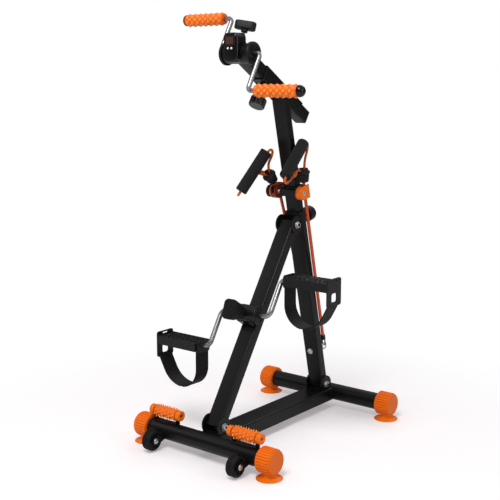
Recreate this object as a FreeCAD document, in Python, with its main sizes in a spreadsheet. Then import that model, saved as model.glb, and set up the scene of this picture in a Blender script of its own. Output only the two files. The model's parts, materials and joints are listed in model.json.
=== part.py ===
import FreeCAD, Part
import math
import os
import Sketcher
from FreeCAD import Placement, Rotation, Vector

# Upper and lower limb trainer: a hand crank on a telescopic post, a foot crank on the sloping front
# post, two pull handles on stretch tubes, two massage rollers and two transport wheels.
# Millimetres. The user sits at the front and faces the machine: X to the user's right, Y to the rear
# of the machine, Z up.
# The origin is on the floor under the middle of the whole machine.

# Driving sizes, in millimetres, degrees or counts
SIZES = {
    # base
    "tube_radius": 25, "tube_wall": 2, "tube_reach": 236, "tube_height": 48, "base_length": 588,
    "rail_width": 70, "rail_height": 40, "rail_wall": 2.5, "rail_top": 64.5, "rail_corner": 4,
    "cap_radius": 37, "cap_length": 48, "cap_end_wall": 9, "cap_round": 5,
    "flute_radius": 2.6, "flute_count": 22,
    "foot_radius": 36, "foot_rim": 2, "foot_neck_radius": 17, "foot_neck_height": 9, "foot_height": 16,
    # posts and their brackets
    "post_width": 50, "post_depth": 30, "post_wall": 2, "post_corner": 4,
    "front_pivot_y": 46, "rear_pivot_y": 543, "pivot_height": 83,
    "rear_lean_angle": 13.16, "rear_post_length": 572, "top_pivot_drop": 25.7, "top_pivot_standoff": 24.1,
    "post_end_length": 6, "rear_post_end_length": 9,
    "ear_radius": 27, "ear_thick": 4, "ear_gap": 0.5, "bracket_plate_thick": 4, "bracket_plate_reach": 20,
    "bolt_radius": 5, "bolt_head_radius": 9, "bolt_head_thick": 6, "washer_radius": 10.5,
    "washer_thick": 1.5, "nut_thick": 8, "bolt_hole_gap": 0.05,
    # upper post, arm sleeve and arm
    "inner_width": 45, "inner_depth": 25, "inner_wall": 1.5, "inner_corner": 3, "inner_overlap": 272,
    "arm_joint_rise": 354, "arm_tilt": 57.93,
    "sleeve_size": 44, "sleeve_wall": 2.5, "sleeve_corner": 4, "sleeve_rear": 80, "sleeve_front": 107,
    "arm_size": 38, "arm_wall": 2, "arm_corner": 3, "arm_rear": 127, "shaft_along": 209, "shaft_drop": 4,
    # cranks
    "lower_shaft_along": 317, "lower_shaft_standoff": 48,
    "lower_rod_radius": 7, "lower_arm_x": 84, "lower_arm_length": 116.7, "lower_bend": 20,
    "lower_spindle_end": 252, "lower_crank_angle": 31.2,
    "upper_rod_radius": 6.3, "upper_arm_x": 70, "upper_arm_length": 111.5, "upper_bend": 13,
    "upper_spindle_end": 238, "upper_crank_angle": 29.4,
    # resistance units
    "barrel_wall": 4, "barrel_reach": 41, "flange_thick": 9, "flange_round": 3,
    "lower_barrel_radius": 24, "lower_flange_radius": 26.5,
    "upper_barrel_radius": 27, "upper_flange_radius": 31,
    "axle_radius": 6, "bush_radius": 9, "running_gap": 0.05,
    "drum_radius": 15, "drum_reach": 16, "shoe_thick": 3, "shoe_gap": 0.3, "shoe_half_width": 9,
    "saddle_width": 40, "saddle_length": 78, "saddle_plate": 4, "saddle_web": 26,
    "flange_screw_radius": 3, "flange_screw_circle": 17, "flange_screw_head": 2,
    # knobs of the resistance units
    "tension_screw_radius": 4, "upper_knob_height": 67, "upper_knob_thick": 17, "upper_knob_length": 60,
    "upper_knob_width": 24, "upper_knob_turn_angle": 15,
    "upper_knob_lean_angle": 18, "hub_radius": 9, "hub_length": 8, "boss_radius": 11,
    "boss_height": 6, "knob_round": 4,
    "lower_knob_rise_angle": 19, "lower_knob_start": 27, "lower_knob_end": 76, "lower_knob_base_radius": 20,
    "lower_knob_width": 43, "lower_knob_height": 57, "lower_knob_corner": 14, "lower_knob_crown": 6,
    # display
    "case_width": 47, "case_height": 78, "case_front": 42, "case_centre_rise": 15, "case_corner": 14,
    "case_wall": 2.5, "window_width": 38, "window_height": 28, "window_thick": 2,
    "window_rise": 18, "window_corner": 5, "button_radius": 3, "button_length": 6, "button_stand": 1.8,
    "button_spread": 6, "button_drop": 20, "button_gap": 0.1,
    # hand grips
    "grip_start": 98, "grip_end": 235, "grip_radius": 18.5, "grip_rim_radius": 16, "grip_rim_length": 4,
    "grip_cap_radius": 15.5, "left_cap_length": 7, "right_cap_length": 17, "grip_cap_edge": 3,
    # pedals
    "pedal_inner": 106, "pedal_outer": 258, "pedal_half_depth": 33, "pedal_plate_thick": 4,
    "pedal_top": 11, "pedal_bottom": 13, "plate_top": 22, "plate_bottom": 54, "inner_plate_top": 16,
    "inner_plate_bottom": 20, "inner_plate_half": 27, "pedal_wall": 4, "plate_corner": 7,
    "window_low_half": 13, "window_low_top": 18, "window_low_bottom": 44,
    "plate_hole_radius": 1.6, "plate_hole_inset": 6, "slot_half": 11, "slot_top": 18,
    "slot_bottom": 13.5, "tread_rib_thick": 2, "tread_rib_rise": 1.5, "tread_rib_count": 9,
    "strap_width": 52, "strap_thick": 2.4, "strap_depth": 128, "strap_gap": 0.05,
    "strap_inner_bend": 42, "strap_low_bend": 68, "strap_plate_bend": 26,
    # transport wheels
    "wheel_inset": 85, "wheel_y": 53.5, "wheel_z": 33, "wheel_radius": 29, "wheel_thick": 25,
    "wheel_round": 4, "wheel_dish": 3, "wheel_hub_radius": 10, "wheel_side_gap": 0.8,
    "wheel_plate_thick": 3, "wheel_plate_radius": 13, "wheel_pin_radius": 4, "wheel_rim_radius": 20,
    # massage rollers
    "roller_inset": 94, "roller_z": 101, "roller_reach": 56, "roller_core": 13.5, "roller_spike": 20,
    "roller_rings": 6, "roller_collar_radius": 14.5, "roller_collar_length": 14, "roller_axle_radius": 4,
    "roller_leg_thick": 3, "roller_leg_width": 16, "roller_leg_gap": 0.8, "roller_plate_thick": 3,
    "roller_bore_depth": 5,
    # pull ropes
    "collar_rise": 67, "collar_height": 30, "collar_wall": 5, "collar_gap": 0.3, "rope_axle_front": 20,
    "collar_bar_reach": 27, "collar_bar_depth": 16, "collar_bar_height": 18,
    "pulley_x": 46, "pulley_case_thick": 20, "pulley_case_radius": 20, "pulley_case_back": 27,
    "pulley_case_wall": 3, "pulley_radius": 13, "pulley_thick": 12, "pulley_groove": 4,
    "rope_bolt_radius": 4, "rope_bolt_head": 7, "rope_bolt_head_thick": 3,
    "rope_nut_radius": 7, "rope_nut_thick": 5,
    "star_radius": 18.5, "star_thick": 15, "star_lobe": 3, "star_count": 12,
    "cup_top_radius": 20.5, "cup_bottom_radius": 14.5, "cup_length": 40, "cup_start": 30, "cup_floor": 9,
    "cup_wall": 3, "left_cup_angle": 36, "right_cup_angle": -5,
    "handle_radius": 17.2, "handle_round": 3, "cord_radius": 3.6, "cord_bend": 9, "cord_out": 12,
    "cord_side": 24, "cord_mouth": 14, "line_gap": 0.2, "cord_apart": 6, "stretch_tube_radius": 4.8,
    "eye_x": 20, "run_gap": 5.5, "hook_slack": 0.3,
    "hook_wire": 2, "hook_length": 26, "hook_width": 14, "ferrule_radius": 7, "ferrule_length": 14,
    "anchor_along": 119, "anchor_plate_width": 44, "anchor_plate_height": 20, "anchor_plate_thick": 3,
    "eye_radius": 9, "eye_wire": 2, "eye_sink": 0.5, "collar_rim": 3, "collar_rim_height": 5,
    # glides and plugs
    "glide_length": 20, "rim_thick": 4, "plug_depth": 12, "plug_thick": 4,
    # post lock and arm lock knobs
    "lock_drop": 27, "lock_boss_radius": 10, "lock_boss_length": 32, "lock_pin_radius": 5,
    "lock_knob_radius": 22.5, "lock_knob_length": 32, "lock_knob_skirt": 13, "lock_pin_gap": 0.3,
    "lock_knob_edge": 3, "lock_knob_round": 12,
    "arm_lock_along": 74, "arm_lock_boss_radius": 11, "arm_lock_boss_length": 12, "arm_lock_neck": 38,
    "arm_lock_radius": 23, "arm_lock_thick": 26, "arm_lock_lobe": 4, "arm_lock_count": 12,
    "arm_lock_screw_radius": 5,
    # one overrun for every cutting shape
    "overrun": 5,
}

# Shares of other sizes
TOUCH_SHARE = 0.5
SPIKE_SHARE = 0.5
STRAP_LOW_SHARE = 0.55
STRAP_END_SHARE = 0.25
CLAMP_DEPTH_SHARE = 0.7
CLAMP_BORE_SHARE = 0.8
BEHIND_SHARE = 0.45
WRAP_GAP_ANGLE = 14
# Turns, in degrees
HALF_TURN = 180
QUARTER_TURN = 90

# Ends of the pull handles, upper and lower, with Y from the front cross tube
HANDLE_ENDS = {
    "left": ((-37, 320, 821), (-83, 258, 707)),
    "right": ((40.5, 394, 845.5), (51.5, 289.6, 756.5)),
}
# The way to the side of the left handle where its cord's slack lies
SLACK_WAY = (-3, 4, 0)

doc = FreeCAD.newDocument("LimbTrainer")
sheet = doc.addObject("Spreadsheet::Sheet", "Sizes")


class Size:
    """A size of the part: its number, and the sheet formula that gives it."""

    def __init__(self, number, formula):
        self.number = float(number)
        self.formula = formula

    def mixed(self, other, sign, swapped=False):
        other = sized(other)
        first, second = (other, self) if swapped else (self, other)
        a, b = first.number, second.number
        number = {"+": a + b, "-": a - b, "*": a * b, "/": a / b if b else 0}[sign]
        return Size(number, "(%s %s %s)" % (first.formula, sign, second.formula))

    def __add__(self, other):
        return self.mixed(other, "+")

    def __radd__(self, other):
        return self.mixed(other, "+", True)

    def __sub__(self, other):
        return self.mixed(other, "-")

    def __rsub__(self, other):
        return self.mixed(other, "-", True)

    def __mul__(self, other):
        return self.mixed(other, "*")

    def __rmul__(self, other):
        return self.mixed(other, "*", True)

    def __truediv__(self, other):
        return self.mixed(other, "/")

    def __neg__(self):
        return Size(-self.number, "(-%s)" % self.formula)

    def __float__(self):
        return self.number

    def __int__(self):
        return int(self.number)


def sized(value):
    return value if isinstance(value, Size) else Size(value, repr(float(value)))


class Sheet:
    """Named sizes, read as attributes, such as S.post_width."""


S = Sheet()
for row, (alias, value) in enumerate(SIZES.items(), 1):
    sheet.set("A%d" % row, alias)
    sheet.set("B%d" % row, str(value))
    sheet.setAlias("B%d" % row, alias)
    setattr(S, alias, Size(value, "Sizes.%s" % alias))
doc.recompute()

PIECES = []

X_AXIS, Y_AXIS, Z_AXIS = Vector(1, 0, 0), Vector(0, 1, 0), Vector(0, 0, 1)
SIDES = (("left", -1), ("right", 1))


# Helpers

def vector(x=0, y=0, z=0):
    return Vector(float(x), float(y), float(z))


def bind(thing, **sizes):
    for name, value in sizes.items():
        value = sized(value)
        setattr(thing, name, value.number)
        thing.setExpression(name, value.formula)
    return thing


def add(kind, name="Shape"):
    return doc.addObject(kind, name)


def moved(thing, x=0, y=0, z=0, turn=None):
    thing.Placement = Placement(vector(x, y, z), turn or Rotation())
    return thing


def publish(node, thing, frame=None):
    """Give a finished sub-part its node name, and its place in the machine."""
    thing.Label = node
    if frame:
        thing.Placement = frame.multiply(thing.Placement)
    PIECES.append(thing)
    return thing


def block(width, depth, height, x=0, y=0, z=0):
    """A box centred on x and y that stands on z."""
    thing = bind(add("Part::Box"), Length=width, Width=depth, Height=height)
    return moved(thing, sized(x) - sized(width) / 2, sized(y) - sized(depth) / 2, z)


def rod(radius, length, x=0, y=0, z=0, along=Z_AXIS, centred=False):
    thing = bind(add("Part::Cylinder"), Radius=radius, Height=length)
    start = vector(x, y, z)
    if centred:
        start = start - Vector(along) * (float(length) / 2)
    thing.Placement = Placement(start, Rotation(Z_AXIS, along))
    return thing


def ring(radius, wire, x=0, y=0, z=0, facing=Z_AXIS):
    thing = bind(add("Part::Torus"), Radius1=radius, Radius2=wire)
    return moved(thing, x, y, z, Rotation(Z_AXIS, facing))


def fused(*things):
    if len(things) == 1:
        return things[0]
    thing = add("Part::MultiFuse")
    thing.Shapes = list(things)
    return thing


def cut(base, *tools):
    thing = add("Part::Cut")
    thing.Base = base
    thing.Tool = fused(*tools)
    return thing


def common(base, tool):
    thing = add("Part::Common")
    thing.Base = base
    thing.Tool = tool
    return thing


def group(*things):
    thing = add("Part::Compound")
    thing.Links = list(things)
    return thing


def origin_plane(body, role):
    return [plane for plane in body.Origin.OriginFeatures if plane.Role == role][0]


def new_sketch(body, role):
    sketch = body.newObject("Sketcher::SketchObject", "Sketch")
    sketch.AttachmentSupport = (origin_plane(body, role), [""])
    sketch.MapMode = "FlatFace"
    return sketch


def constrain(sketch, kind, *where):
    """Add a constraint; the last entry is a size, which is bound to the sheet."""
    value = where[-1]
    index = sketch.addConstraint(Sketcher.Constraint(kind, *where[:-1], value.number))
    sketch.setExpression("Constraints[%d]" % index, value.formula)


def direction(start, end):
    dx, dy = float(end[0]) - float(start[0]), float(end[1]) - float(start[1])
    length = math.hypot(dx, dy)
    return round(dx / length), round(dy / length)


def outline(sketch, corners, closed=True):
    """Draw lines through corners; a third entry of a corner rounds it, between upright and level lines."""
    points = []
    spans = []
    for index, corner in enumerate(corners):
        place = [sized(corner[0]), sized(corner[1])]
        if len(corner) == 2:
            points.append((place[0], place[1]))
            continue
        radius = sized(corner[2])
        before = direction(place, corners[index - 1])
        after = direction(place, corners[(index + 1) % len(corners)])
        points.append((place[0] + before[0] * radius, place[1] + before[1] * radius))
        centre = (place[0] + (before[0] + after[0]) * radius, place[1] + (before[1] + after[1]) * radius)
        spans.append((len(points) - 1, centre, radius))
        points.append((place[0] + after[0] * radius, place[1] + after[1] * radius))
    rounds = {start: (centre, radius) for start, centre, radius in spans}
    count = len(points) if closed else len(points) - 1
    ends = []
    for index in range(count):
        start, end = points[index], points[(index + 1) % len(points)]
        first, last = vector(*start), vector(*end)
        if index in rounds:
            centre, radius = rounds[index]
            middle = vector(*centre)
            turn = (first - middle).cross(last - middle).z
            one, two = (first, last) if turn > 0 else (last, first)
            angles = [math.atan2(p.y - middle.y, p.x - middle.x) for p in (one, two)]
            if angles[1] < angles[0]:
                angles[1] += 2 * math.pi
            circle = Part.Circle(middle, Z_AXIS, float(radius))
            item = sketch.addGeometry(Part.ArcOfCircle(circle, *angles), False)
            constrain(sketch, "Radius", item, radius)
            ends.append((item, 1, 2) if turn > 0 else (item, 2, 1))
        else:
            item = sketch.addGeometry(Part.LineSegment(first, last), False)
            ends.append((item, 1, 2))
    for index, (item, start, end) in enumerate(ends):
        if closed or index < len(ends) - 1:
            following = ends[(index + 1) % len(ends)]
            joint = Sketcher.Constraint("Coincident", item, end, following[0], following[1])
            sketch.addConstraint(joint)
        constrain(sketch, "DistanceX", -1, 1, item, start, points[index][0])
        constrain(sketch, "DistanceY", -1, 1, item, start, points[index][1])
    if not closed:
        item, start, end = ends[-1]
        constrain(sketch, "DistanceX", -1, 1, item, end, points[-1][0])
        constrain(sketch, "DistanceY", -1, 1, item, end, points[-1][1])


def circle(sketch, x, y, radius):
    item = sketch.addGeometry(Part.Circle(vector(x, y), Z_AXIS, float(radius)), False)
    constrain(sketch, "Radius", item, sized(radius))
    constrain(sketch, "DistanceX", -1, 1, item, 3, sized(x))
    constrain(sketch, "DistanceY", -1, 1, item, 3, sized(y))


def rectangle(width, height, corner=None, x=0, y=0):
    """The corners of a rectangle centred on x and y, rounded where a corner radius is given."""
    x, y = sized(x), sized(y)
    half_x, half_y = sized(width) / 2, sized(height) / 2
    places = ((x - half_x, y - half_y), (x + half_x, y - half_y), (x + half_x, y + half_y),
              (x - half_x, y + half_y))
    return [place + (corner,) if corner else place for place in places]


def padded(length, loops, holes=(), role="XY_Plane"):
    """A body padded from closed outlines, with round holes, along the plane's own normal."""
    body = add("PartDesign::Body", "Body")
    sketch = new_sketch(body, role)
    for loop in loops:
        outline(sketch, loop)
    for hole in holes:
        circle(sketch, *hole)
    pad = body.newObject("PartDesign::Pad", "Pad")
    pad.Profile = sketch
    bind(pad, Length=length)
    body.Tip = pad
    return body


def turned(corners):
    """A body turned about its own Z from an outline of radius and height."""
    body = add("PartDesign::Body", "Body")
    sketch = new_sketch(body, "XZ_Plane")
    outline(sketch, corners)
    revolution = body.newObject("PartDesign::Revolution", "Revolution")
    revolution.Profile = sketch
    revolution.ReferenceAxis = (sketch, ["V_Axis"])
    revolution.Angle = 360
    body.Tip = revolution
    return body


def bent_rod(radius, corners):
    """A round rod along a flat path of X and Z that starts at the origin along X."""
    body = add("PartDesign::Body", "Body")
    path = new_sketch(body, "XZ_Plane")
    outline(path, corners, closed=False)
    section = new_sketch(body, "YZ_Plane")
    circle(section, 0, 0, radius)
    doc.recompute()
    pipe = body.newObject("PartDesign::AdditivePipe", "Pipe")
    pipe.Profile = section
    pipe.Spine = (path, ["Edge%d" % (i + 1) for i in range(len(path.Shape.Edges))])
    body.Tip = pipe
    return body


def spread(count, maker):
    """Copies of a thing about the Z axis."""
    copies = []
    for index in range(int(count)):
        copies.append(maker(math.radians(360 * index / int(count))))
    return copies


# The axes of the machine

CAP_REACH = S.tube_reach + S.cap_end_wall
WHEEL_X = S.tube_reach - S.wheel_inset
ROLLER_X = S.tube_reach - S.roller_inset
TOP_PIVOT_ALONG = S.rear_post_length - S.top_pivot_drop
LOCK_ALONG = S.rear_post_length - S.lock_drop
INNER_BOTTOM = S.rear_post_length - S.inner_overlap
COLLAR_ALONG = S.rear_post_length + S.collar_rise
ARM_JOINT_ALONG = S.rear_post_length + S.arm_joint_rise
MIDDLE_Y = (S.base_length + S.cap_radius - (S.wheel_y + S.wheel_radius)) / 2


def at(x=0, y=0, z=0, turn=None):
    """A place in the machine, with Y measured from the front cross tube."""
    return Placement(vector(x, sized(y) - MIDDLE_Y, z), turn or Rotation())


def tilt(angle):
    return Rotation(X_AXIS, float(angle))


rear_frame = at(0, S.rear_pivot_y, S.pivot_height, tilt(S.rear_lean_angle))
top_pivot = rear_frame.multVec(vector(0, -(S.post_depth / 2 + S.top_pivot_standoff), TOP_PIVOT_ALONG))
front_pivot = at(0, S.front_pivot_y, S.pivot_height).Base
front_span = (top_pivot - front_pivot).Length
front_lean = -math.degrees(math.atan2(top_pivot.y - front_pivot.y, top_pivot.z - front_pivot.z))
front_frame = Placement(front_pivot, tilt(front_lean))
arm_joint = rear_frame.multVec(vector(0, 0, ARM_JOINT_ALONG))
arm_frame = Placement(arm_joint, tilt(S.arm_tilt))
upper_shaft = arm_frame.multVec(vector(0, -S.shaft_drop, S.shaft_along))
lower_shaft = front_frame.multVec(vector(0, -S.lower_shaft_standoff, S.lower_shaft_along))
TO_X = Rotation(Z_AXIS, X_AXIS)


# Base

def cross_tube(y):
    section = add("PartDesign::Body", "Body")
    sketch = new_sketch(section, "XY_Plane")
    circle(sketch, 0, 0, S.tube_radius)
    circle(sketch, 0, 0, S.tube_radius - S.tube_wall)
    pad = section.newObject("PartDesign::Pad", "Pad")
    pad.Profile = sketch
    bind(pad, Length=S.tube_reach * 2)
    section.Tip = pad
    section.Placement = Placement(vector(-S.tube_reach, y, S.tube_height), TO_X)
    return section


def base_rail():
    wall = S.rail_wall
    shape = padded(S.base_length, [
        rectangle(S.rail_width, S.rail_height, S.rail_corner),
        rectangle(S.rail_width - wall * 2, S.rail_height - wall * 2, S.rail_corner - wall)],
        role="XZ_Plane")
    middle = S.rail_top - S.rail_height / 2
    shape.Placement = Placement(vector(0, 0, middle), Rotation(Z_AXIS, HALF_TURN))
    reach = S.rail_width + S.overrun
    tubes = [rod(S.tube_radius, reach, 0, y, S.tube_height, X_AXIS, True) for y in (0, S.base_length)]
    publish("base_rail", cut(shape, *tubes), at())


def end_cap():
    """A ribbed barrel cap whose socket holds the end of a cross tube."""
    socket = S.tube_radius + S.bolt_hole_gap
    body = turned([
        (0, S.cap_length - S.cap_end_wall), (socket, S.cap_length - S.cap_end_wall), (socket, 0),
        (S.cap_radius, 0, S.cap_round / 2), (S.cap_radius, S.cap_length, S.cap_round), (0, S.cap_length)])
    radius = S.cap_radius + S.flute_radius / 3

    def flute(angle):
        return rod(S.flute_radius, S.cap_length, radius * math.cos(angle), radius * math.sin(angle),
                   S.cap_round / 2)

    return cut(body, *spread(S.flute_count, flute))


def suction_foot():
    """A flared cup whose neck fits the underside of its cap."""
    body = turned([(0, 0), (S.foot_radius, 0), (S.foot_radius, S.foot_rim),
                   (S.foot_neck_radius + S.foot_rim, S.foot_neck_height - S.foot_rim),
                   (S.foot_neck_radius, S.foot_neck_height), (S.foot_neck_radius, S.foot_height),
                   (0, S.foot_height)])
    barrel = rod(S.cap_radius, S.foot_radius * 3, 0, 0, S.tube_height, X_AXIS, True)
    return cut(body, barrel)


def caps_and_feet():
    caps, feet = [], []
    for y in (0, S.base_length):
        for side in (-1, 1):
            cap = end_cap()
            cap.Placement = Placement(vector((CAP_REACH - S.cap_length) * side, y, S.tube_height),
                                      Rotation(Z_AXIS, X_AXIS * side))
            foot = suction_foot()
            moved(foot, (CAP_REACH - S.cap_length / 2) * side, y)
            caps.append(cap)
            feet.append(foot)
    publish("end_caps", group(*caps), at())
    publish("suction_feet", group(*feet), at())


# Posts

def post_bracket(standoff):
    """Two round ears on a plate, about a pivot on the local X axis; the plate lies along local Z below."""
    inside = S.post_width / 2 + S.ear_gap
    floor = -standoff
    ears = [rod(S.ear_radius, S.ear_thick, inside * side, 0, 0, X_AXIS * side) for side in (-1, 1)]
    plate = block(inside * 2, S.bracket_plate_reach * 2, S.bracket_plate_thick, 0, 0, floor)
    feet = [block(S.ear_thick, S.bracket_plate_reach * 2, S.bracket_plate_thick,
                  (inside + S.ear_thick / 2) * side, 0, floor) for side in (-1, 1)]
    below = block(S.post_width * 2, S.ear_radius * 3, S.ear_radius * 2, 0, 0, floor - S.ear_radius * 2)
    hole = rod(S.bolt_radius + S.bolt_hole_gap, S.post_width * 2, 0, 0, 0, X_AXIS, True)
    return cut(fused(plate, *ears, *feet), below, hole)


def pivot_bolt():
    """A bolt through both ears: head and washer on the right, nut on the left."""
    face = S.post_width / 2 + S.ear_gap + S.ear_thick
    shank = rod(S.bolt_radius, face * 2 + S.washer_thick + S.nut_thick, -(face + S.nut_thick), 0, 0, X_AXIS)
    washer = rod(S.washer_radius, S.washer_thick, face, 0, 0, X_AXIS)
    head = rod(S.bolt_head_radius, S.bolt_head_thick, face + S.washer_thick, 0, 0, X_AXIS)
    nut = rod(S.bolt_head_radius, S.nut_thick, -(face + S.nut_thick), 0, 0, X_AXIS)
    return fused(shank, washer, head, nut)


def rectangular_tube(width, depth, wall, corner, length):
    return padded(length, [rectangle(width, depth, corner),
                           rectangle(width - wall * 2, depth - wall * 2, corner - wall)])


def posts():
    hole = S.bolt_radius + S.bolt_hole_gap
    length = front_span + S.post_end_length * 2
    front = rectangular_tube(S.post_width, S.post_depth, S.post_wall, S.post_corner, sized(length))
    moved(front, 0, 0, -S.post_end_length)
    holes = [rod(hole, S.post_width * 2, 0, 0, z, X_AXIS, True) for z in (0, front_span)]
    publish("front_post", cut(front, *holes), front_frame)
    rear = rectangular_tube(S.post_width, S.post_depth, S.post_wall, S.post_corner,
                            S.rear_post_length + S.rear_post_end_length)
    moved(rear, 0, 0, -S.rear_post_end_length)
    back = S.post_depth / 2
    pin_hole = rod(S.lock_pin_radius + S.bolt_hole_gap, S.post_depth, 0, 0, LOCK_ALONG, Y_AXIS)
    pivot_hole = rod(hole, S.post_width * 2, 0, 0, 0, X_AXIS, True)
    anchor_hole = rod(S.bolt_radius + S.bolt_hole_gap, S.post_depth * 2, 0, 0, S.anchor_along, Y_AXIS, True)
    tube = cut(rear, pin_hole, pivot_hole, anchor_hole)
    boss = cut(rod(S.lock_boss_radius, S.lock_boss_length, 0, back, LOCK_ALONG, Y_AXIS),
               rod(S.lock_pin_radius + S.bolt_hole_gap, S.post_depth * 2, 0, 0, LOCK_ALONG, Y_AXIS))
    publish("rear_post", group(tube, boss), rear_frame)


def brackets():
    height = S.pivot_height - S.rail_top
    front = moved(post_bracket(height), 0, front_pivot.y, front_pivot.z)
    rear = post_bracket(height)
    rear.Placement = Placement(rear_frame.Base, Rotation())
    top = post_bracket(S.top_pivot_standoff)
    top.Placement = Placement(top_pivot, Rotation(X_AXIS, float(S.rear_lean_angle) + QUARTER_TURN))
    publish("post_brackets", group(front, rear, top))


# Upper post, sleeve and arm

def upper_post():
    length = ARM_JOINT_ALONG - INNER_BOTTOM
    tube = rectangular_tube(S.inner_width, S.inner_depth, S.inner_wall, S.inner_corner, length)
    moved(tube, 0, 0, INNER_BOTTOM)
    sleeve = block(S.inner_width * 2, S.sleeve_size, S.arm_rear * 2)
    in_post = rear_frame.inverse().multiply(arm_frame)
    sleeve.Placement = in_post.multiply(Placement(vector(-S.inner_width, -S.sleeve_size / 2, -S.arm_rear),
                                                  Rotation()))
    publish("upper_post", cut(tube, sleeve), rear_frame)


def arm_sleeve():
    tube = rectangular_tube(S.sleeve_size, S.sleeve_size, S.sleeve_wall, S.sleeve_corner,
                            S.sleeve_rear + S.sleeve_front)
    moved(tube, 0, 0, -S.sleeve_rear)
    hole_radius = S.arm_lock_screw_radius + S.bolt_hole_gap
    down = -Y_AXIS
    hole = rod(hole_radius, S.sleeve_size, 0, 0, S.arm_lock_along, down)
    side = -S.sleeve_size / 2
    boss = cut(rod(S.arm_lock_boss_radius, S.arm_lock_boss_length, 0, side, S.arm_lock_along, down),
               rod(hole_radius, S.sleeve_size, 0, 0, S.arm_lock_along, down))
    publish("arm_sleeve", group(cut(tube, hole), boss), arm_frame)


def arm_tube():
    tube = rectangular_tube(S.arm_size, S.arm_size, S.arm_wall, S.arm_corner, S.arm_rear + S.shaft_along)
    moved(tube, 0, 0, -S.arm_rear)
    barrel = rod(S.upper_barrel_radius, S.arm_size * 2, 0, -S.shaft_drop, S.shaft_along, X_AXIS, True)
    publish("arm_tube", cut(tube, barrel), arm_frame)


def star_knob(radius, thick, lobe, count):
    """A knob with hollows round its rim, turned about local Z."""
    body = turned([(0, 0), (radius - lobe / 2, 0), (radius, lobe / 2), (radius, thick - lobe / 2),
                   (radius - lobe / 2, thick), (0, thick)])
    reach = radius + lobe * TOUCH_SHARE

    def hollow(angle):
        x, y = reach * math.cos(angle), reach * math.sin(angle)
        return rod(lobe, thick + S.overrun * 2, x, y, -S.overrun)

    return cut(body, *spread(count, hollow))


def lock_knobs():
    """The pull knob of the post and the clamp knob of the arm sleeve."""
    back = S.post_depth / 2
    pin_start = S.inner_depth / 2 + S.lock_pin_gap
    pin_end = back + S.lock_boss_length + S.lock_knob_skirt
    pin = rod(S.lock_pin_radius, pin_end - pin_start, 0, 0, pin_start)
    knob = turned([
        (S.lock_boss_radius + S.lock_pin_gap, 0), (S.lock_knob_radius, 0, S.lock_knob_edge),
        (S.lock_knob_radius, S.lock_knob_length, S.lock_knob_round), (0, S.lock_knob_length),
        (0, S.lock_knob_skirt), (S.lock_boss_radius + S.lock_pin_gap, S.lock_knob_skirt)])
    moved(knob, 0, 0, back + S.lock_boss_length)
    shape = fused(pin, knob)
    shape.Placement = Placement(vector(0, 0, LOCK_ALONG), Rotation(Z_AXIS, Y_AXIS))
    publish("post_lock_knob", shape, rear_frame)

    start = S.arm_size / 2 + S.lock_pin_gap
    knob_start = S.sleeve_size / 2 + S.arm_lock_neck
    screw = rod(S.arm_lock_screw_radius, knob_start - start, 0, 0, start)
    star = star_knob(S.arm_lock_radius, S.arm_lock_thick, S.arm_lock_lobe, S.arm_lock_count)
    moved(star, 0, 0, knob_start)
    neck = rod(S.arm_lock_boss_radius, S.arm_lock_neck - S.arm_lock_boss_length * 2, 0, 0,
               S.sleeve_size / 2 + S.arm_lock_boss_length * 2)
    shape = fused(screw, neck, star)
    shape.Placement = Placement(vector(0, 0, S.arm_lock_along), Rotation(Z_AXIS, -Y_AXIS))
    publish("arm_lock_knob", shape, arm_frame)


# Resistance units

def drum_axle():
    """The axle that joins both cranks, with the brake drum on it."""
    end = S.barrel_reach + S.flange_thick
    return fused(rod(S.axle_radius, end * 2, 0, 0, 0, X_AXIS, True),
                 rod(S.drum_radius, S.drum_reach * 2, 0, 0, 0, X_AXIS, True))


def housing(radius, screw_way):
    """The barrel round the drum, open at both ends, with a boss for the tension screw."""
    hole = rod(S.tension_screw_radius + S.running_gap, radius * 2, 0, 0, 0, screw_way)
    boss = rod(S.boss_radius, radius + S.boss_height, 0, 0, 0, screw_way)
    shell = fused(rod(radius, S.barrel_reach * 2, 0, 0, 0, X_AXIS, True), boss)
    inside = rod(radius - S.barrel_wall, S.barrel_reach * 2 + S.overrun, 0, 0, 0, X_AXIS, True)
    return cut(shell, inside, hole)


def flanges(barrel_radius, radius):
    """End discs that close the barrel, each with a spigot, a bush and three screws."""
    discs = []
    for side in (-1, 1):
        spigot = barrel_radius - S.barrel_wall - S.bolt_hole_gap
        body = turned([
            (S.bush_radius, -S.flange_thick), (spigot, -S.flange_thick), (spigot, 0), (radius, 0),
            (radius, S.flange_thick, S.flange_round), (S.bush_radius, S.flange_thick)])
        body.Placement = Placement(vector(S.barrel_reach * side), Rotation(Z_AXIS, X_AXIS * side))
        discs.append(body)
    return group(*discs, *bushes(), *flange_screws())


def bushes():
    rings = []
    for side in (-1, 1):
        outside = rod(S.bush_radius, S.flange_thick * 2, (S.barrel_reach - S.flange_thick) * side, 0, 0,
                      X_AXIS * side)
        bore_radius = S.axle_radius + S.running_gap
        bore = rod(bore_radius, S.flange_thick * 4, S.barrel_reach * side, 0, 0, X_AXIS, True)
        rings.append(cut(outside, bore))
    return rings


def brake_shoe(screw_way):
    """A curved pad over the drum, under the tension screw."""
    inner = S.drum_radius + S.shoe_gap
    pad = cut(rod(inner + S.shoe_thick, S.drum_reach * 2, 0, 0, 0, X_AXIS, True),
              rod(inner, S.drum_reach * 3, 0, 0, 0, X_AXIS, True))
    window = block(S.drum_reach * 3, S.shoe_half_width * 2, S.drum_radius * 2)
    window.Placement = Placement(Vector(), Rotation(Z_AXIS, screw_way)).multiply(window.Placement)
    return common(pad, window)


def tension_screw_start():
    return S.drum_radius + S.shoe_gap + S.shoe_thick + S.shoe_gap


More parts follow.
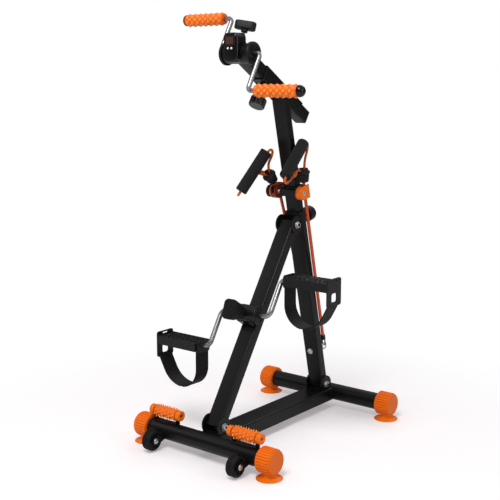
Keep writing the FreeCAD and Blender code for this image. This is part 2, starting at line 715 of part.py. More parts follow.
def upper_unit():
    # In this frame Z points along the arm, towards the user, and Y is square to it
    unit = Placement(upper_shaft, tilt(S.arm_tilt))
    upright = Placement(upper_shaft, Rotation())
    lean = float(S.upper_knob_lean_angle)
    in_unit = Rotation(X_AXIS, -lean - float(S.arm_tilt))
    knob_way = in_unit.multVec(Z_AXIS)
    publish("upper_housing", housing(S.upper_barrel_radius, knob_way), unit)
    publish("upper_flanges", flanges(S.upper_barrel_radius, S.upper_flange_radius), unit)
    publish("upper_brake_shoe", brake_shoe(knob_way), unit)
    # Display case: a rounded shell in front of the barrel
    depth = S.case_front
    case = padded(depth, [rectangle(S.case_width, S.case_height, S.case_corner, 0, S.case_centre_rise)],
                  role="XZ_Plane")
    inner = padded(depth - S.case_wall, [rectangle(
        S.case_width - S.case_wall * 2, S.case_height - S.case_wall * 2, S.case_corner - S.case_wall,
        0, S.case_centre_rise)], role="XZ_Plane")
    barrel = rod(S.upper_barrel_radius, S.case_width * 2, 0, 0, 0, X_AXIS, True)
    window_y = S.window_rise + S.case_centre_rise
    recess = padded(S.window_thick + S.overrun, [rectangle(
        S.window_width, S.window_height, S.window_corner, 0, window_y)], role="XZ_Plane")
    moved(recess, 0, -(depth - S.window_thick * TOUCH_SHARE))
    button_z = window_y - S.button_drop
    hole_radius = S.button_radius + S.button_gap
    holes = [rod(hole_radius, depth, S.button_spread * side, -depth * TOUCH_SHARE, button_z, -Y_AXIS)
             for side in (-1, 1)]
    publish("display_case", cut(case, inner, barrel, recess, *holes), upright)
    window = padded(S.window_thick, [rectangle(
        S.window_width, S.window_height, S.window_corner, 0, window_y)], role="XZ_Plane")
    moved(window, 0, -(depth - S.window_thick * TOUCH_SHARE))
    publish("display_window", window, upright)
    for name, side in SIDES:
        button = rod(S.button_radius, S.button_length, S.button_spread * side,
                     -(depth + S.button_stand - S.button_length), button_z, -Y_AXIS)
        publish("display_button_%s" % name, button, upright)
    # Tension knob: a bar across the top of its screw
    start = tension_screw_start()
    screw = rod(S.tension_screw_radius, S.upper_knob_height - start, 0, 0, start)
    hub = rod(S.hub_radius, S.hub_length, 0, 0, S.upper_knob_height - S.hub_length)
    bar = padded(S.upper_knob_thick, [rectangle(
        S.upper_knob_length, S.upper_knob_width, S.upper_knob_width / 2 - S.knob_round / 4)])
    bar.Placement = Placement(vector(0, 0, S.upper_knob_height), Rotation(Z_AXIS, float(S.upper_knob_turn_angle)))
    knob = fused(screw, hub, bar)
    knob.Placement = Placement(Vector(), Rotation(X_AXIS, -lean))
    publish("upper_tension_knob", knob, upright)


def lower_unit():
    # In this frame Y points at the front post, square to it
    unit = Placement(lower_shaft, tilt(front_lean))
    rise = float(S.lower_knob_rise_angle)
    knob_way = Placement(Vector(), Rotation(X_AXIS, QUARTER_TURN - rise - front_lean)).multVec(Z_AXIS)
    publish("lower_housing", housing(S.lower_barrel_radius, knob_way), unit)
    publish("lower_flanges", flanges(S.lower_barrel_radius, S.lower_flange_radius), unit)
    publish("lower_brake_shoe", brake_shoe(knob_way), unit)
    # Saddle between the barrel and the post: a web on a plate
    face = S.lower_shaft_standoff - S.post_depth / 2
    plate = block(S.saddle_width, S.saddle_plate, S.saddle_length, 0, face - S.saddle_plate / 2,
                  -S.saddle_length / 2)
    web = block(S.saddle_width, face, S.saddle_web * 2, 0, face / 2, -S.saddle_web)
    barrel = rod(S.lower_barrel_radius, S.saddle_width * 2, 0, 0, 0, X_AXIS, True)
    publish("lower_saddle", cut(fused(plate, web), barrel), unit)
    # Tension knob: a bell that widens to a rounded head
    body = add("PartDesign::Body", "Body")
    small = new_sketch(body, "XY_Plane")
    circle(small, 0, 0, S.lower_knob_base_radius)
    wide = new_sketch(body, "XY_Plane")
    rise_to_head = S.lower_knob_end - S.lower_knob_start - S.lower_knob_crown
    wide.AttachmentOffset = Placement(vector(0, 0, rise_to_head), Rotation())
    wide.setExpression("AttachmentOffset.Base.z", rise_to_head.formula)
    outline(wide, rectangle(S.lower_knob_width, S.lower_knob_height, S.lower_knob_corner))
    doc.recompute()
    loft = body.newObject("PartDesign::AdditiveLoft", "Loft")
    loft.Profile = small
    loft.Sections = [wide]
    body.Tip = loft
    crown = padded(S.lower_knob_crown, [rectangle(
        S.lower_knob_width, S.lower_knob_height, S.lower_knob_corner)])
    moved(body, 0, 0, S.lower_knob_start)
    moved(crown, 0, 0, S.lower_knob_end - S.lower_knob_crown)
    boss = rod(S.boss_radius + S.lock_pin_gap, S.lower_barrel_radius + S.boss_height + S.lock_pin_gap)
    start = tension_screw_start()
    screw = rod(S.tension_screw_radius, S.lower_knob_end - S.lower_knob_crown - start, 0, 0, start)
    barrel_room = rod(S.lower_barrel_radius + S.lock_pin_gap, S.barrel_reach * 2, 0, 0, 0, X_AXIS, True)
    knob = fused(cut(fused(body, crown), boss, barrel_room), screw)
    knob.Placement = Placement(Vector(), Rotation(X_AXIS, QUARTER_TURN - rise))
    publish("lower_tension_knob", knob, Placement(lower_shaft, Rotation()))


def flange_screws():
    screws = []
    for side in (-1, 1):
        face = (S.barrel_reach + S.flange_thick) * side

        def screw(angle):
            y, z = S.flange_screw_circle * math.sin(angle), S.flange_screw_circle * math.cos(angle)
            return rod(S.flange_screw_radius, S.flange_screw_head, face, y, z, X_AXIS * side)

        screws += spread(3, screw)
    return screws


# Cranks, grips and pedals

def crank(radius, start, arm_x, arm_length, bend, end):
    """A rod that leaves the shaft along X, rises along Z and ends in a spindle along X."""
    arm_x, end = arm_x - start, end - start
    return bent_rod(radius, [(0, 0), (arm_x, 0, bend), (arm_x, arm_length, bend), (end, arm_length)])


def both_cranks(prefix, shaft, radius, arm_x, arm_length, bend, end, angle):
    start = S.barrel_reach + S.flange_thick
    spindle_ends = {}
    rods = [drum_axle()]
    for name, side in SIDES:
        rise = float(angle) if side < 0 else float(angle) + HALF_TURN
        if prefix == "lower":
            rise += HALF_TURN
        turn = Rotation(X_AXIS, -rise)
        if side < 0:
            turn = turn.multiply(Rotation(Z_AXIS, HALF_TURN))
        arm = crank(radius, start, arm_x, arm_length, bend, end)
        arm.Placement = Placement(vector(start * side), turn)
        rods.append(arm)
        spindle_ends[name] = shaft + turn.multVec(vector(0, 0, arm_length))
    publish("%s_crank" % prefix, group(*rods), Placement(shaft, Rotation()))
    return spindle_ends


def grips(spindles):
    caps = []
    for name, side in SIDES:
        length = S.grip_end - S.grip_start
        bore = S.upper_rod_radius + S.running_gap
        body = turned([
            (bore, 0), (S.grip_rim_radius, 0), (S.grip_rim_radius, S.grip_rim_length),
            (S.grip_radius, S.grip_rim_length * 2), (S.grip_radius, length - S.grip_rim_length * 2),
            (S.grip_rim_radius, length - S.grip_rim_length), (S.grip_rim_radius, length), (bore, length)])
        turn = Rotation(Z_AXIS, X_AXIS * side)
        place = Placement(spindles[name] + vector(S.grip_start * side), turn)
        publish("hand_grip_%s" % name, body, place)
        gap, depth = S.lock_pin_gap, S.upper_spindle_end - S.grip_end
        thick = S.left_cap_length if side < 0 else S.right_cap_length
        cap = turned([
            (S.upper_rod_radius, gap), (S.grip_cap_radius, gap),
            (S.grip_cap_radius, thick, thick - S.grip_cap_edge), (0, thick),
            (0, depth), (S.upper_rod_radius, depth)])
        cap.Placement = Placement(spindles[name] + vector(S.grip_end * side), turn)
        caps.append(cap)
    publish("grip_end_caps", group(*caps))


def tangent_wire(points, radii):
    """Straight runs through points, joined by tangent arcs of the given radii."""
    edges = []
    last = points[0]
    for index in range(1, len(points) - 1):
        corner = points[index]
        back = (points[index - 1] - corner).normalize()
        ahead = (points[index + 1] - corner).normalize()
        half = back.getAngle(ahead) / 2
        reach = radii[index - 1] / math.tan(half)
        middle_way = (back + ahead).normalize()
        centre = corner + middle_way * (radii[index - 1] / math.sin(half))
        first, end = corner + back * reach, corner + ahead * reach
        through = centre - middle_way * radii[index - 1]
        edges.append(Part.LineSegment(last, first).toShape())
        edges.append(Part.Arc(first, through, end).toShape())
        last = end
    edges.append(Part.LineSegment(last, points[-1]).toShape())
    return Part.Wire(edges)


def round_cord(points, radii, radius):
    """A round cord or tube along straight runs and tangent arcs."""
    wire = tangent_wire(points, radii)
    way = points[1] - points[0]
    ring_edge = Part.Circle(points[0], way, float(radius)).toShape()
    return wire.makePipeShell([Part.Wire([ring_edge])], True, False)


def solid_piece(node, shape, frame=None):
    thing = add("Part::Feature", "Formed")
    thing.Shape = shape
    return publish(node, thing, frame)


def strap_solid(side):
    """The foot strap: a flat band that hangs in a U between the two end plates."""
    thick, depth = float(S.strap_thick), float(S.strap_depth)
    inner_x = float(S.pedal_inner + S.pedal_plate_thick) + thick / 2 + float(S.strap_gap)
    outer_x = float(S.pedal_outer - S.pedal_plate_thick) - thick / 2 - float(S.strap_gap)
    low = -depth + thick / 2
    plate_low = -float(S.plate_bottom)
    points = [
        Vector(inner_x, 0, -float(S.pedal_bottom) - float(S.strap_gap)),
        Vector(inner_x, 0, low),
        Vector(inner_x + (outer_x - inner_x) * STRAP_LOW_SHARE, 0, low),
        Vector(outer_x, 0, plate_low),
        Vector(outer_x, 0, plate_low + float(S.plate_bottom - S.pedal_bottom) * STRAP_END_SHARE),
    ]
    bends = [float(bend) for bend in (S.strap_inner_bend, S.strap_low_bend, S.strap_plate_bend)]
    wire = tangent_wire(points, bends)
    half_width, half_thick = float(S.strap_width) / 2, thick / 2
    start = points[0]
    corners = [(1, 1), (-1, 1), (-1, -1), (1, -1), (1, 1)]
    profile = Part.makePolygon([start + Vector(half_thick * i, half_width * j, 0) for i, j in corners])
    solid = wire.makePipeShell([profile], True, False)
    if side < 0:
        solid = solid.mirror(Vector(), X_AXIS)
    return solid


def pedal(side):
    """A moulded platform with an end plate at each end, in its own frame about the spindle."""
    inner, outer, thick = S.pedal_inner, S.pedal_outer, S.pedal_plate_thick
    height = S.pedal_top + S.pedal_bottom
    length = outer - inner - thick * 2
    middle = (inner + outer) / 2
    platform = block(length, S.pedal_half_depth * 2, height, middle, 0, -S.pedal_bottom)
    cavity = block(length - S.pedal_wall * 2, S.pedal_half_depth * 2 - S.pedal_wall * 2,
                   height, middle, 0, -(S.pedal_bottom + S.pedal_wall))
    sleeve = rod(S.lower_rod_radius + S.pedal_wall, length, inner + thick, 0, 0, X_AXIS)
    ribs = []
    pitch = length / (S.tread_rib_count + 1)
    for index in range(int(S.tread_rib_count)):
        ribs.append(block(S.tread_rib_thick, S.pedal_half_depth * 2 - S.pedal_wall, S.tread_rib_rise,
                          inner + thick + pitch * (index + 1), 0, S.pedal_top))
    plate_height = S.plate_top + S.plate_bottom
    across = S.pedal_half_depth - S.plate_hole_inset
    plate_middle = (S.plate_top - S.plate_bottom) / 2
    plate = padded(thick, [
        rectangle(S.pedal_half_depth * 2, plate_height, S.plate_corner, 0, plate_middle),
        rectangle(S.window_low_half * 2, S.window_low_bottom - S.window_low_top, S.plate_corner, 0,
                  -(S.window_low_bottom + S.window_low_top) / 2),
        rectangle(S.slot_half * 2, S.slot_top - S.slot_bottom, None, 0, (S.slot_top + S.slot_bottom) / 2)],
        holes=[(across * edge, level, S.plate_hole_radius) for edge in (-1, 1) for level in (
            S.plate_top - S.plate_hole_inset, S.plate_hole_inset - S.window_low_bottom)],
        role="YZ_Plane")
    moved(plate, outer - thick)
    inner_height = S.inner_plate_top + S.inner_plate_bottom
    inner_middle = (S.inner_plate_top - S.inner_plate_bottom) / 2
    inner_plate = padded(thick, [rectangle(
        S.inner_plate_half * 2, inner_height, S.plate_corner, 0, inner_middle)], role="YZ_Plane")
    moved(inner_plate, inner)
    bore = rod(S.lower_rod_radius + S.running_gap, S.lower_spindle_end - inner + S.overrun + S.lock_pin_gap,
               inner - S.overrun, 0, 0, X_AXIS)
    solid = cut(fused(cut(platform, cavity), sleeve, plate, inner_plate, *ribs), bore)
    if side < 0:
        mirror = add("Part::Mirroring")
        mirror.Source = solid
        mirror.Normal = X_AXIS
        return mirror
    return solid


def pedals(spindles):
    for name, side in SIDES:
        place = Placement(spindles[name], Rotation())
        publish("pedal_%s" % name, pedal(side), place)
        solid_piece("pedal_strap_%s" % name, strap_solid(side), place)


# Transport wheels and massage rollers

def wheels():
    brackets, pins = [], []
    half = S.wheel_thick / 2
    for name, side in SIDES:
        bore = S.wheel_pin_radius + S.running_gap
        dish = S.wheel_dish
        hub, rim = S.wheel_hub_radius, S.wheel_rim_radius
        body = turned([
            (bore, -half), (hub, -half), (hub, dish - half), (rim, dish - half), (rim, -half),
            (S.wheel_radius, -half, S.wheel_round), (S.wheel_radius, half, S.wheel_round),
            (rim, half), (rim, half - dish), (hub, half - dish), (hub, half), (bore, half)])
        publish("wheel_%s" % name, body, at(WHEEL_X * side, -S.wheel_y, S.wheel_z, TO_X))
        # A fork of two plates from the cross tube
        centre = Vector(0, -float(S.wheel_y), float(S.wheel_z))
        to_tube = Vector(0, float(S.wheel_y), float(S.tube_height - S.wheel_z))
        plates = []
        for face in (-1, 1):
            inside = WHEEL_X * side + (half + S.wheel_side_gap) * face
            x = inside + S.wheel_plate_thick / 2 * face
            disc = rod(S.wheel_plate_radius, S.wheel_plate_thick, x, centre.y, centre.z, X_AXIS, True)
            web = block(S.wheel_plate_thick, S.wheel_plate_radius * 2, to_tube.Length)
            web.Placement = Placement(vector(x, centre.y, centre.z), Rotation(Z_AXIS, to_tube)).multiply(
                Placement(vector(-S.wheel_plate_thick / 2, -S.wheel_plate_radius, 0), Rotation()))
            plates += [disc, web]
        tube = rod(S.tube_radius, S.tube_reach * 2, 0, 0, S.tube_height, X_AXIS, True)
        hole_radius = S.wheel_pin_radius + S.bolt_hole_gap
        hole = rod(hole_radius, S.wheel_thick * 3, WHEEL_X * side, centre.y, centre.z, X_AXIS, True)
        brackets.append(cut(fused(*plates), tube, hole))
        outside = half + S.wheel_side_gap + S.wheel_plate_thick
        pin = rod(S.wheel_pin_radius, outside * 2, WHEEL_X * side, centre.y, centre.z, X_AXIS, True)
        heads = []
        for face in (-1, 1):
            x = WHEEL_X * side + outside * face
            heads.append(rod(S.wheel_pin_radius * 2, S.rope_bolt_head_thick, x, centre.y, centre.z,
                             X_AXIS * face))
        bolt = fused(pin, *heads)
        bolt.Placement = at()
        pins.append(bolt)
    publish("wheel_forks", group(*brackets), at())
    return pins


def roller_outline():
    """A core with rings of points, bored for its axle."""
    reach = S.roller_reach - S.roller_collar_length - S.roller_leg_thick - S.roller_leg_gap
    bore = S.roller_axle_radius + S.running_gap
    corners = [(bore, -reach), (S.roller_core, -reach)]
    pitch = reach * 2 / S.roller_rings
    for index in range(int(S.roller_rings)):
        start = pitch * index - reach
        corners += [(S.roller_spike, start + pitch * SPIKE_SHARE), (S.roller_core, start + pitch)]
    corners.append((bore, reach))
    return corners


def rollers():
    brackets, axles, collars = [], [], []
    base_z = S.tube_height + S.tube_radius
    plate_top = base_z + S.roller_plate_thick
    leg_x = S.roller_reach - S.roller_collar_length - S.roller_leg_thick / 2
    hole_radius = S.roller_axle_radius + S.bolt_hole_gap
    for name, side in SIDES:
        middle = ROLLER_X * side
        publish("massage_roller_%s" % name, turned(roller_outline()), at(middle, 0, S.roller_z, TO_X))
        axle_reach = S.roller_reach - S.roller_bore_depth
        plate_length = leg_x * 2 + S.roller_leg_thick
        parts = [block(plate_length, S.roller_leg_width, S.roller_plate_thick, middle, 0, base_z)]
        for face in (-1, 1):
            x = middle + leg_x * face
            rise = S.roller_z - plate_top
            parts.append(block(S.roller_leg_thick, S.roller_leg_width, rise, x, 0, plate_top))
            parts.append(rod(S.roller_leg_width / 2, S.roller_leg_thick, x, 0, S.roller_z, X_AXIS, True))
            outer = rod(S.roller_collar_radius, S.roller_collar_length,
                        x + S.roller_leg_thick / 2 * face, 0, S.roller_z, X_AXIS * face)
            bore = rod(hole_radius, S.roller_reach * 2, middle, 0, S.roller_z, X_AXIS, True)
            collars.append(cut(outer, bore))
        hole = rod(hole_radius, S.roller_reach * 2, middle, 0, S.roller_z, X_AXIS, True)
        brackets.append(cut(fused(*parts), hole))
        axles.append(rod(S.roller_axle_radius, axle_reach * 2, middle, 0, S.roller_z, X_AXIS, True))
    publish("roller_brackets", group(*brackets, *axles), at())
    publish("roller_collars", group(*collars), at())


# Glides and plugs

def frame_plate(outer, inner, thick, corner):
    """A flat plate with a rectangular opening; outer and inner are width and depth."""
    return padded(thick, [rectangle(outer[0], outer[1], corner), rectangle(inner[0], inner[1])])


def glides():
    fit = S.running_gap * 2
    rim = S.collar_rim
    outer = (S.post_width + rim * 2, S.post_depth + rim * 2)
    socket = (S.post_width + fit, S.post_depth + fit)
    top = frame_plate(outer, (S.inner_width + fit, S.inner_depth + fit), S.rim_thick, S.post_corner)
    skirt = padded(S.collar_rim_height, [
        rectangle(*outer, S.post_corner), rectangle(*socket, S.post_corner)])
    moved(top, 0, 0, S.rear_post_length)
    moved(skirt, 0, 0, S.rear_post_length - S.collar_rim_height)
    publish("post_collar", fused(top, skirt), rear_frame)

    width = S.post_width - S.post_wall * 2 - fit
    depth = S.post_depth - S.post_wall * 2 - fit
    plate = padded(S.glide_length, [rectangle(width, depth, S.inner_corner)])
    moved(plate, 0, 0, INNER_BOTTOM - S.glide_length)
    spigot = padded(S.plug_depth, [rectangle(
        S.inner_width - S.inner_wall * 2 - fit, S.inner_depth - S.inner_wall * 2 - fit, S.inner_corner)])
    moved(spigot, 0, 0, INNER_BOTTOM)
    publish("post_glide", fused(plate, spigot), rear_frame)

    opening = S.arm_size + fit
    rims = []
    for z in (-(S.sleeve_rear + S.rim_thick), S.sleeve_front):
        size = (S.sleeve_size, S.sleeve_size)
        rim_piece = frame_plate(size, (opening, opening), S.rim_thick, S.sleeve_corner)
        rims.append(moved(rim_piece, 0, 0, z))
    publish("sleeve_rims", group(*rims), arm_frame)

    cover = padded(S.plug_thick, [rectangle(S.arm_size, S.arm_size, S.arm_corner)])
    moved(cover, 0, 0, -(S.arm_rear + S.plug_thick))
    inside = S.arm_size - S.arm_wall * 2 - fit
    spigot = padded(S.plug_depth, [rectangle(inside, inside, S.arm_corner)])
    moved(spigot, 0, 0, -S.arm_rear)
    publish("arm_end_plug", fused(cover, spigot), arm_frame)


# Pull ropes

rope_frame = rear_frame.multiply(Placement(vector(0, -S.rope_axle_front, COLLAR_ALONG), Rotation()))
GROOVE_SLANT = math.hypot(S.pulley_groove, S.pulley_thick / 2) / float(S.pulley_thick / 2)
LINE_RADIUS = S.pulley_radius - S.pulley_groove + (S.stretch_tube_radius + S.line_gap) * GROOVE_SLANT


def pull_frame(side):
    """The frame of one pull line: its Z runs up the line, turned about the pulley's axis."""
    lean = S.left_cup_angle if side < 0 else S.right_cup_angle
    return rope_frame.multiply(Placement(vector(S.pulley_x * side), tilt(lean)))


def eye_centre(side):
    back = S.post_depth / 2 + S.anchor_plate_thick + S.eye_radius + S.eye_wire - S.eye_sink
    return vector(S.eye_x * side, back, S.anchor_along)


def tube_way(side):
    """The way down a stretch tube, from its pulley to its eye, in the rear post's frame."""
    start = vector(S.pulley_x * side, LINE_RADIUS - S.rope_axle_front, COLLAR_ALONG)
    return (eye_centre(side) - start).normalize()


def tube_end(side):
    """The lower end of a stretch tube, a ferrule and a snap hook above its eye."""
    chain = S.ferrule_length + S.hook_length - S.hook_wire * 4 - S.eye_wire - S.hook_slack + S.eye_radius
    return eye_centre(side) - tube_way(side) * float(chain)


def rope_collar():
    gap = S.collar_gap * 2
    inner = (S.inner_width + gap, S.inner_depth + gap)
    wall = S.collar_wall * 2
    body = padded(S.collar_height, [rectangle(inner[0] + wall, inner[1] + wall, S.collar_wall)])
    moved(body, 0, S.rope_axle_front, -S.collar_height / 2)
    height = S.collar_bar_height
    bar = block(S.collar_bar_reach * 2, S.collar_bar_depth, height, 0, 0, -height / 2)
    room = padded(S.collar_height * 2, [rectangle(*inner)])
    moved(room, 0, S.rope_axle_front, -S.collar_height)
    hole = rod(S.rope_bolt_radius + S.bolt_hole_gap, S.collar_bar_reach * 3, 0, 0, 0, X_AXIS, True)
    publish("rope_collar", cut(fused(body, bar), room, hole), rope_frame)

    outside = S.pulley_x + S.pulley_case_thick / 2
    screw_end = outside + S.star_thick * CLAMP_DEPTH_SHARE
    shank = rod(S.rope_bolt_radius, screw_end + outside, -screw_end, 0, 0, X_AXIS)
    head = rod(S.rope_bolt_head, S.rope_bolt_head_thick, outside, 0, 0, X_AXIS)
    inside = S.pulley_x - S.pulley_case_thick / 2
    nuts = [rod(S.rope_nut_radius, S.rope_nut_thick, inside * side, 0, 0, -X_AXIS * side)
            for side in (-1, 1)]
    bolt = fused(shank, head, *nuts)
    bolt.Placement = rope_frame
    knob = star_knob(S.star_radius, S.star_thick, S.star_lobe, S.star_count)
    bore = rod(S.rope_bolt_radius + S.running_gap, S.star_thick * CLAMP_BORE_SHARE)
    knob = cut(knob, bore)
    knob.Placement = Placement(vector(-(outside + S.lock_pin_gap)), Rotation(Z_AXIS, -X_AXIS))
    publish("rope_clamp_knob", knob, rope_frame)
    return bolt


def pulley_case(side):
    """A case, round in front and square behind, open above and below where its line runs."""
    radius, back, thick = S.pulley_case_radius, S.pulley_case_back, S.pulley_case_thick
    wall = S.pulley_case_wall
    x = S.pulley_x * side
    solid = fused(rod(radius, thick, x, 0, 0, X_AXIS, True),
                  block(thick, back, radius * 2, x, back / 2, -radius))
    inside = thick - wall * 2
    depth = back - wall
    room = fused(rod(radius - wall, inside, x, 0, 0, X_AXIS, True),
                 block(inside, depth, radius * 4, x, depth / 2, -radius * 2))
    # The left line leans over the front of its pulley, the right one rises behind its own
    way = block(inside, radius * 2, radius * 2, x, 0 if side < 0 else radius, 0)
    hole = rod(S.rope_bolt_radius + S.bolt_hole_gap, thick * 2, x, 0, 0, X_AXIS, True)
    return cut(solid, room, way, hole)


def pulley():
    half, groove = S.pulley_thick / 2, S.pulley_groove
    radius, bore = S.pulley_radius, S.rope_bolt_radius + S.running_gap
    return turned([(bore, -half), (radius, -half), (radius - groove, 0), (radius, half), (bore, half)])


def cup():
    """A funnel at the end of the stretch tube; the pull cord's knot sits in it."""
    length, wall = S.cup_length, S.cup_wall
    return turned([
        (0, 0), (S.cup_bottom_radius, 0), (S.cup_top_radius, length), (S.cup_top_radius - wall, length),
        (S.cup_bottom_radius - wall, S.cup_floor), (0, S.cup_floor)])


def pull_cord(side, ends):
    """The cord from the cup through the handle and back, and the tube below the cup."""
    frame = pull_frame(side)
    top, low = (at(*end).Base for end in ends)
    way = (low - top).normalize()
    out, bend = float(S.cord_out), float(S.cord_bend)
    floor, mouth = S.cup_start + S.cup_floor, S.cup_start + S.cup_length + S.cord_mouth
    inside = [frame.multVec(vector(0, LINE_RADIUS + S.cord_apart * i, floor)) for i in (1, -1)]
    above = [frame.multVec(vector(0, LINE_RADIUS + S.cord_apart * i, mouth)) for i in (1, -1)]
    across = above[0] - top
    across = (across - way * across.dot(way)).normalize() * float(S.cord_side)
    points = [inside[0], above[0], top - way * out + across, top - way * out, low + way * out,
              low + way * out + across]
    if side < 0:
        far = Vector(*SLACK_WAY)
        far = (far - way * far.dot(way)).normalize() * float(S.cord_side)
        points[-1] = low + way * out + far
        points.append(low + (top - low) * BEHIND_SHARE + far)
    points += [above[1], inside[1]]
    loop = round_cord(points, [bend] * (len(points) - 2), S.cord_radius)
    start = frame.multVec(vector(0, LINE_RADIUS))
    way_up = frame.Rotation.multVec(Z_AXIS)
    run = Part.makeCylinder(float(S.stretch_tube_radius), float(S.cup_start), start, way_up)
    return Part.makeCompound([loop, run])


def pull_lines():
    publish("pulley_cases", group(*[pulley_case(side) for name, side in SIDES]), rope_frame)
    for name, side in SIDES:
        wheel = pulley()
        wheel.Placement = Placement(vector(S.pulley_x * side), TO_X)
        publish("pulley_%s" % name, wheel, rope_frame)
        frame = pull_frame(side)
        publish("cord_cup_%s" % name, moved(cup(), 0, LINE_RADIUS, S.cup_start), frame)
        ends = HANDLE_ENDS[name]
        top, low = (at(*end).Base for end in ends)
        length = (low - top).Length
        bore = S.cord_radius + S.running_gap
        handle = turned([(bore, 0), (S.handle_radius, 0, S.handle_round),
                         (S.handle_radius, sized(length), S.handle_round), (bore, sized(length))])
        publish("pull_handle_%s" % name, handle, Placement(top, Rotation(Z_AXIS, low - top)))
        solid_piece("pull_cord_%s" % name, pull_cord(side, ends))


def stretch_tubes():
    tubes = []
    for name, side in SIDES:
        radius = float(LINE_RADIUS)
        end = rope_frame.inverse().multVec(rear_frame.multVec(tube_end(side)))
        angle = math.atan2(end.y - radius, -end.z)
        middle = vector(S.pulley_x * side)

        def on_pulley(turn):
            return middle + Vector(0, math.cos(turn), math.sin(turn)) * radius

        low = on_pulley(angle)
        if side < 0:
            start_angle = math.radians(float(S.left_cup_angle) - WRAP_GAP_ANGLE)
            half = (start_angle - angle) / 2
            way = Vector(0, math.cos(angle + half), math.sin(angle + half))
            corner = middle + way * (radius / math.cos(half))
            points = [on_pulley(start_angle), corner, end]
            shape = round_cord(points, [radius], S.stretch_tube_radius)
        else:
            start = low + (end - low).normalize() * float(S.run_gap)
            way = end - start
            shape = Part.makeCylinder(float(S.stretch_tube_radius), way.Length, start, way)
        tubes.append(shape)
    solid_piece("stretch_tubes", Part.makeCompound(tubes), rope_frame)


def oval_ring(length, width, wire):
    """A closed oval of round wire about the origin, long way up Z, flat in X."""
    bend = (width - wire * 2) / 2
    rise = length / 2 - wire - bend
    left, right = Vector(-bend, 0, 0), Vector(bend, 0, 0)
    up, top, low = Vector(0, 0, rise), Vector(0, 0, rise + bend), Vector(0, 0, -rise - bend)
    edges = [Part.LineSegment(right - up, right + up), Part.Arc(right + up, top, left + up),
             Part.LineSegment(left + up, left - up), Part.Arc(left - up, low, right - up)]
    path = Part.Wire([edge.toShape() for edge in edges])
    section = Part.Circle(right, Z_AXIS, wire).toShape()
    return path.makePipeShell([Part.Wire([section])], True, False)


def tube_anchors():
    """Ferrules and snap hooks of the stretch tubes, and the eye plate on the rear post."""
    ferrules, hooks, eyes = [], [], []
    half_hook, wire = float(S.hook_length) / 2, float(S.hook_wire)
    back = S.post_depth / 2
    for name, side in SIDES:
        end, way, eye = tube_end(side), tube_way(side), eye_centre(side)
        top = end + way * float(S.ferrule_length)
        hook = oval_ring(half_hook * 2, float(S.hook_width), wire)
        hook.Placement = Placement(top + way * (half_hook - wire * 2), Rotation(Z_AXIS, -way))
        start, length = end + way * float(S.running_gap), float(S.ferrule_length - S.running_gap)
        ferrules.append(Part.makeCylinder(float(S.ferrule_radius), length, start, way).cut(hook))
        hooks.append(hook)
        eyes.append(ring(S.eye_radius, S.eye_wire, eye.x, eye.y, eye.z, X_AXIS))
    solid_piece("tube_hooks", Part.makeCompound(ferrules + hooks), rear_frame)
    plate = block(S.anchor_plate_width, S.anchor_plate_thick, S.anchor_plate_height, 0,
                  back + S.anchor_plate_thick / 2, S.anchor_along - S.anchor_plate_height / 2)
    length = S.post_depth + S.anchor_plate_thick + S.nut_thick
    bolt = rod(S.bolt_radius, length, 0, -back, S.anchor_along, Y_AXIS)
    head = rod(S.bolt_head_radius, S.bolt_head_thick, 0, -back, S.anchor_along, -Y_AXIS)
    nut = rod(S.bolt_head_radius, S.nut_thick, 0, back + S.anchor_plate_thick, S.anchor_along, Y_AXIS)
    hole = rod(S.bolt_radius + S.bolt_hole_gap, S.post_depth * 3, 0, 0, S.anchor_along, Y_AXIS, True)
    publish("tube_anchor", group(fused(bolt, head, nut), fused(cut(plate, hole), *eyes)), rear_frame)


def frame_bolts(bolts):
    for place in (front_pivot, rear_frame.Base, top_pivot):
        bolts.append(moved(pivot_bolt(), place.x, place.y, place.z))
    publish("frame_bolts", group(*bolts))


def build():
    publish("cross_tubes", group(cross_tube(0), cross_tube(S.base_length)), at())
    base_rail()
    caps_and_feet()
    posts()
    brackets()
    upper_post()
    arm_sleeve()
    arm_tube()
    lock_knobs()
    glides()
    upper_unit()
    lower_unit()
    upper_ends = both_cranks("upper", upper_shaft, S.upper_rod_radius, S.upper_arm_x, S.upper_arm_length,
                             S.upper_bend, S.upper_spindle_end, S.upper_crank_angle)
    lower_ends = both_cranks("lower", lower_shaft, S.lower_rod_radius, S.lower_arm_x, S.lower_arm_length,
                             S.lower_bend, S.lower_spindle_end, S.lower_crank_angle)
    grips(upper_ends)
    pedals(lower_ends)
    wheel_bolts = wheels()
    rollers()
    rope_bolt = rope_collar()
    pull_lines()
    stretch_tubes()
    tube_anchors()
    frame_bolts([*wheel_bolts, rope_bolt])


def report_faults():
    """Stop when an object of the document failed, or a sub-part has no valid solid."""
    for thing in doc.Objects:
        if "Invalid" in thing.State or "Error" in thing.State:
            raise RuntimeError("%s %s: %s" % (thing.Name, thing.Label, thing.State))
    for piece in PIECES:
        shape = piece.Shape
        if shape.isNull() or not shape.isValid() or not shape.Solids:
            raise RuntimeError("%s has no valid solid" % piece.Label)


def export():
    os.makedirs("parts", exist_ok=True)
    for piece in PIECES:
        piece.Shape.exportStep("parts/%s.step" % piece.Label)


build()
doc.recompute()
report_faults()
export()
print("%d sub-parts" % len(PIECES))
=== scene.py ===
import json
import math

import bmesh
import bpy
from bpy.props import FloatProperty, FloatVectorProperty, IntProperty, PointerProperty
from mathutils import Matrix, Vector


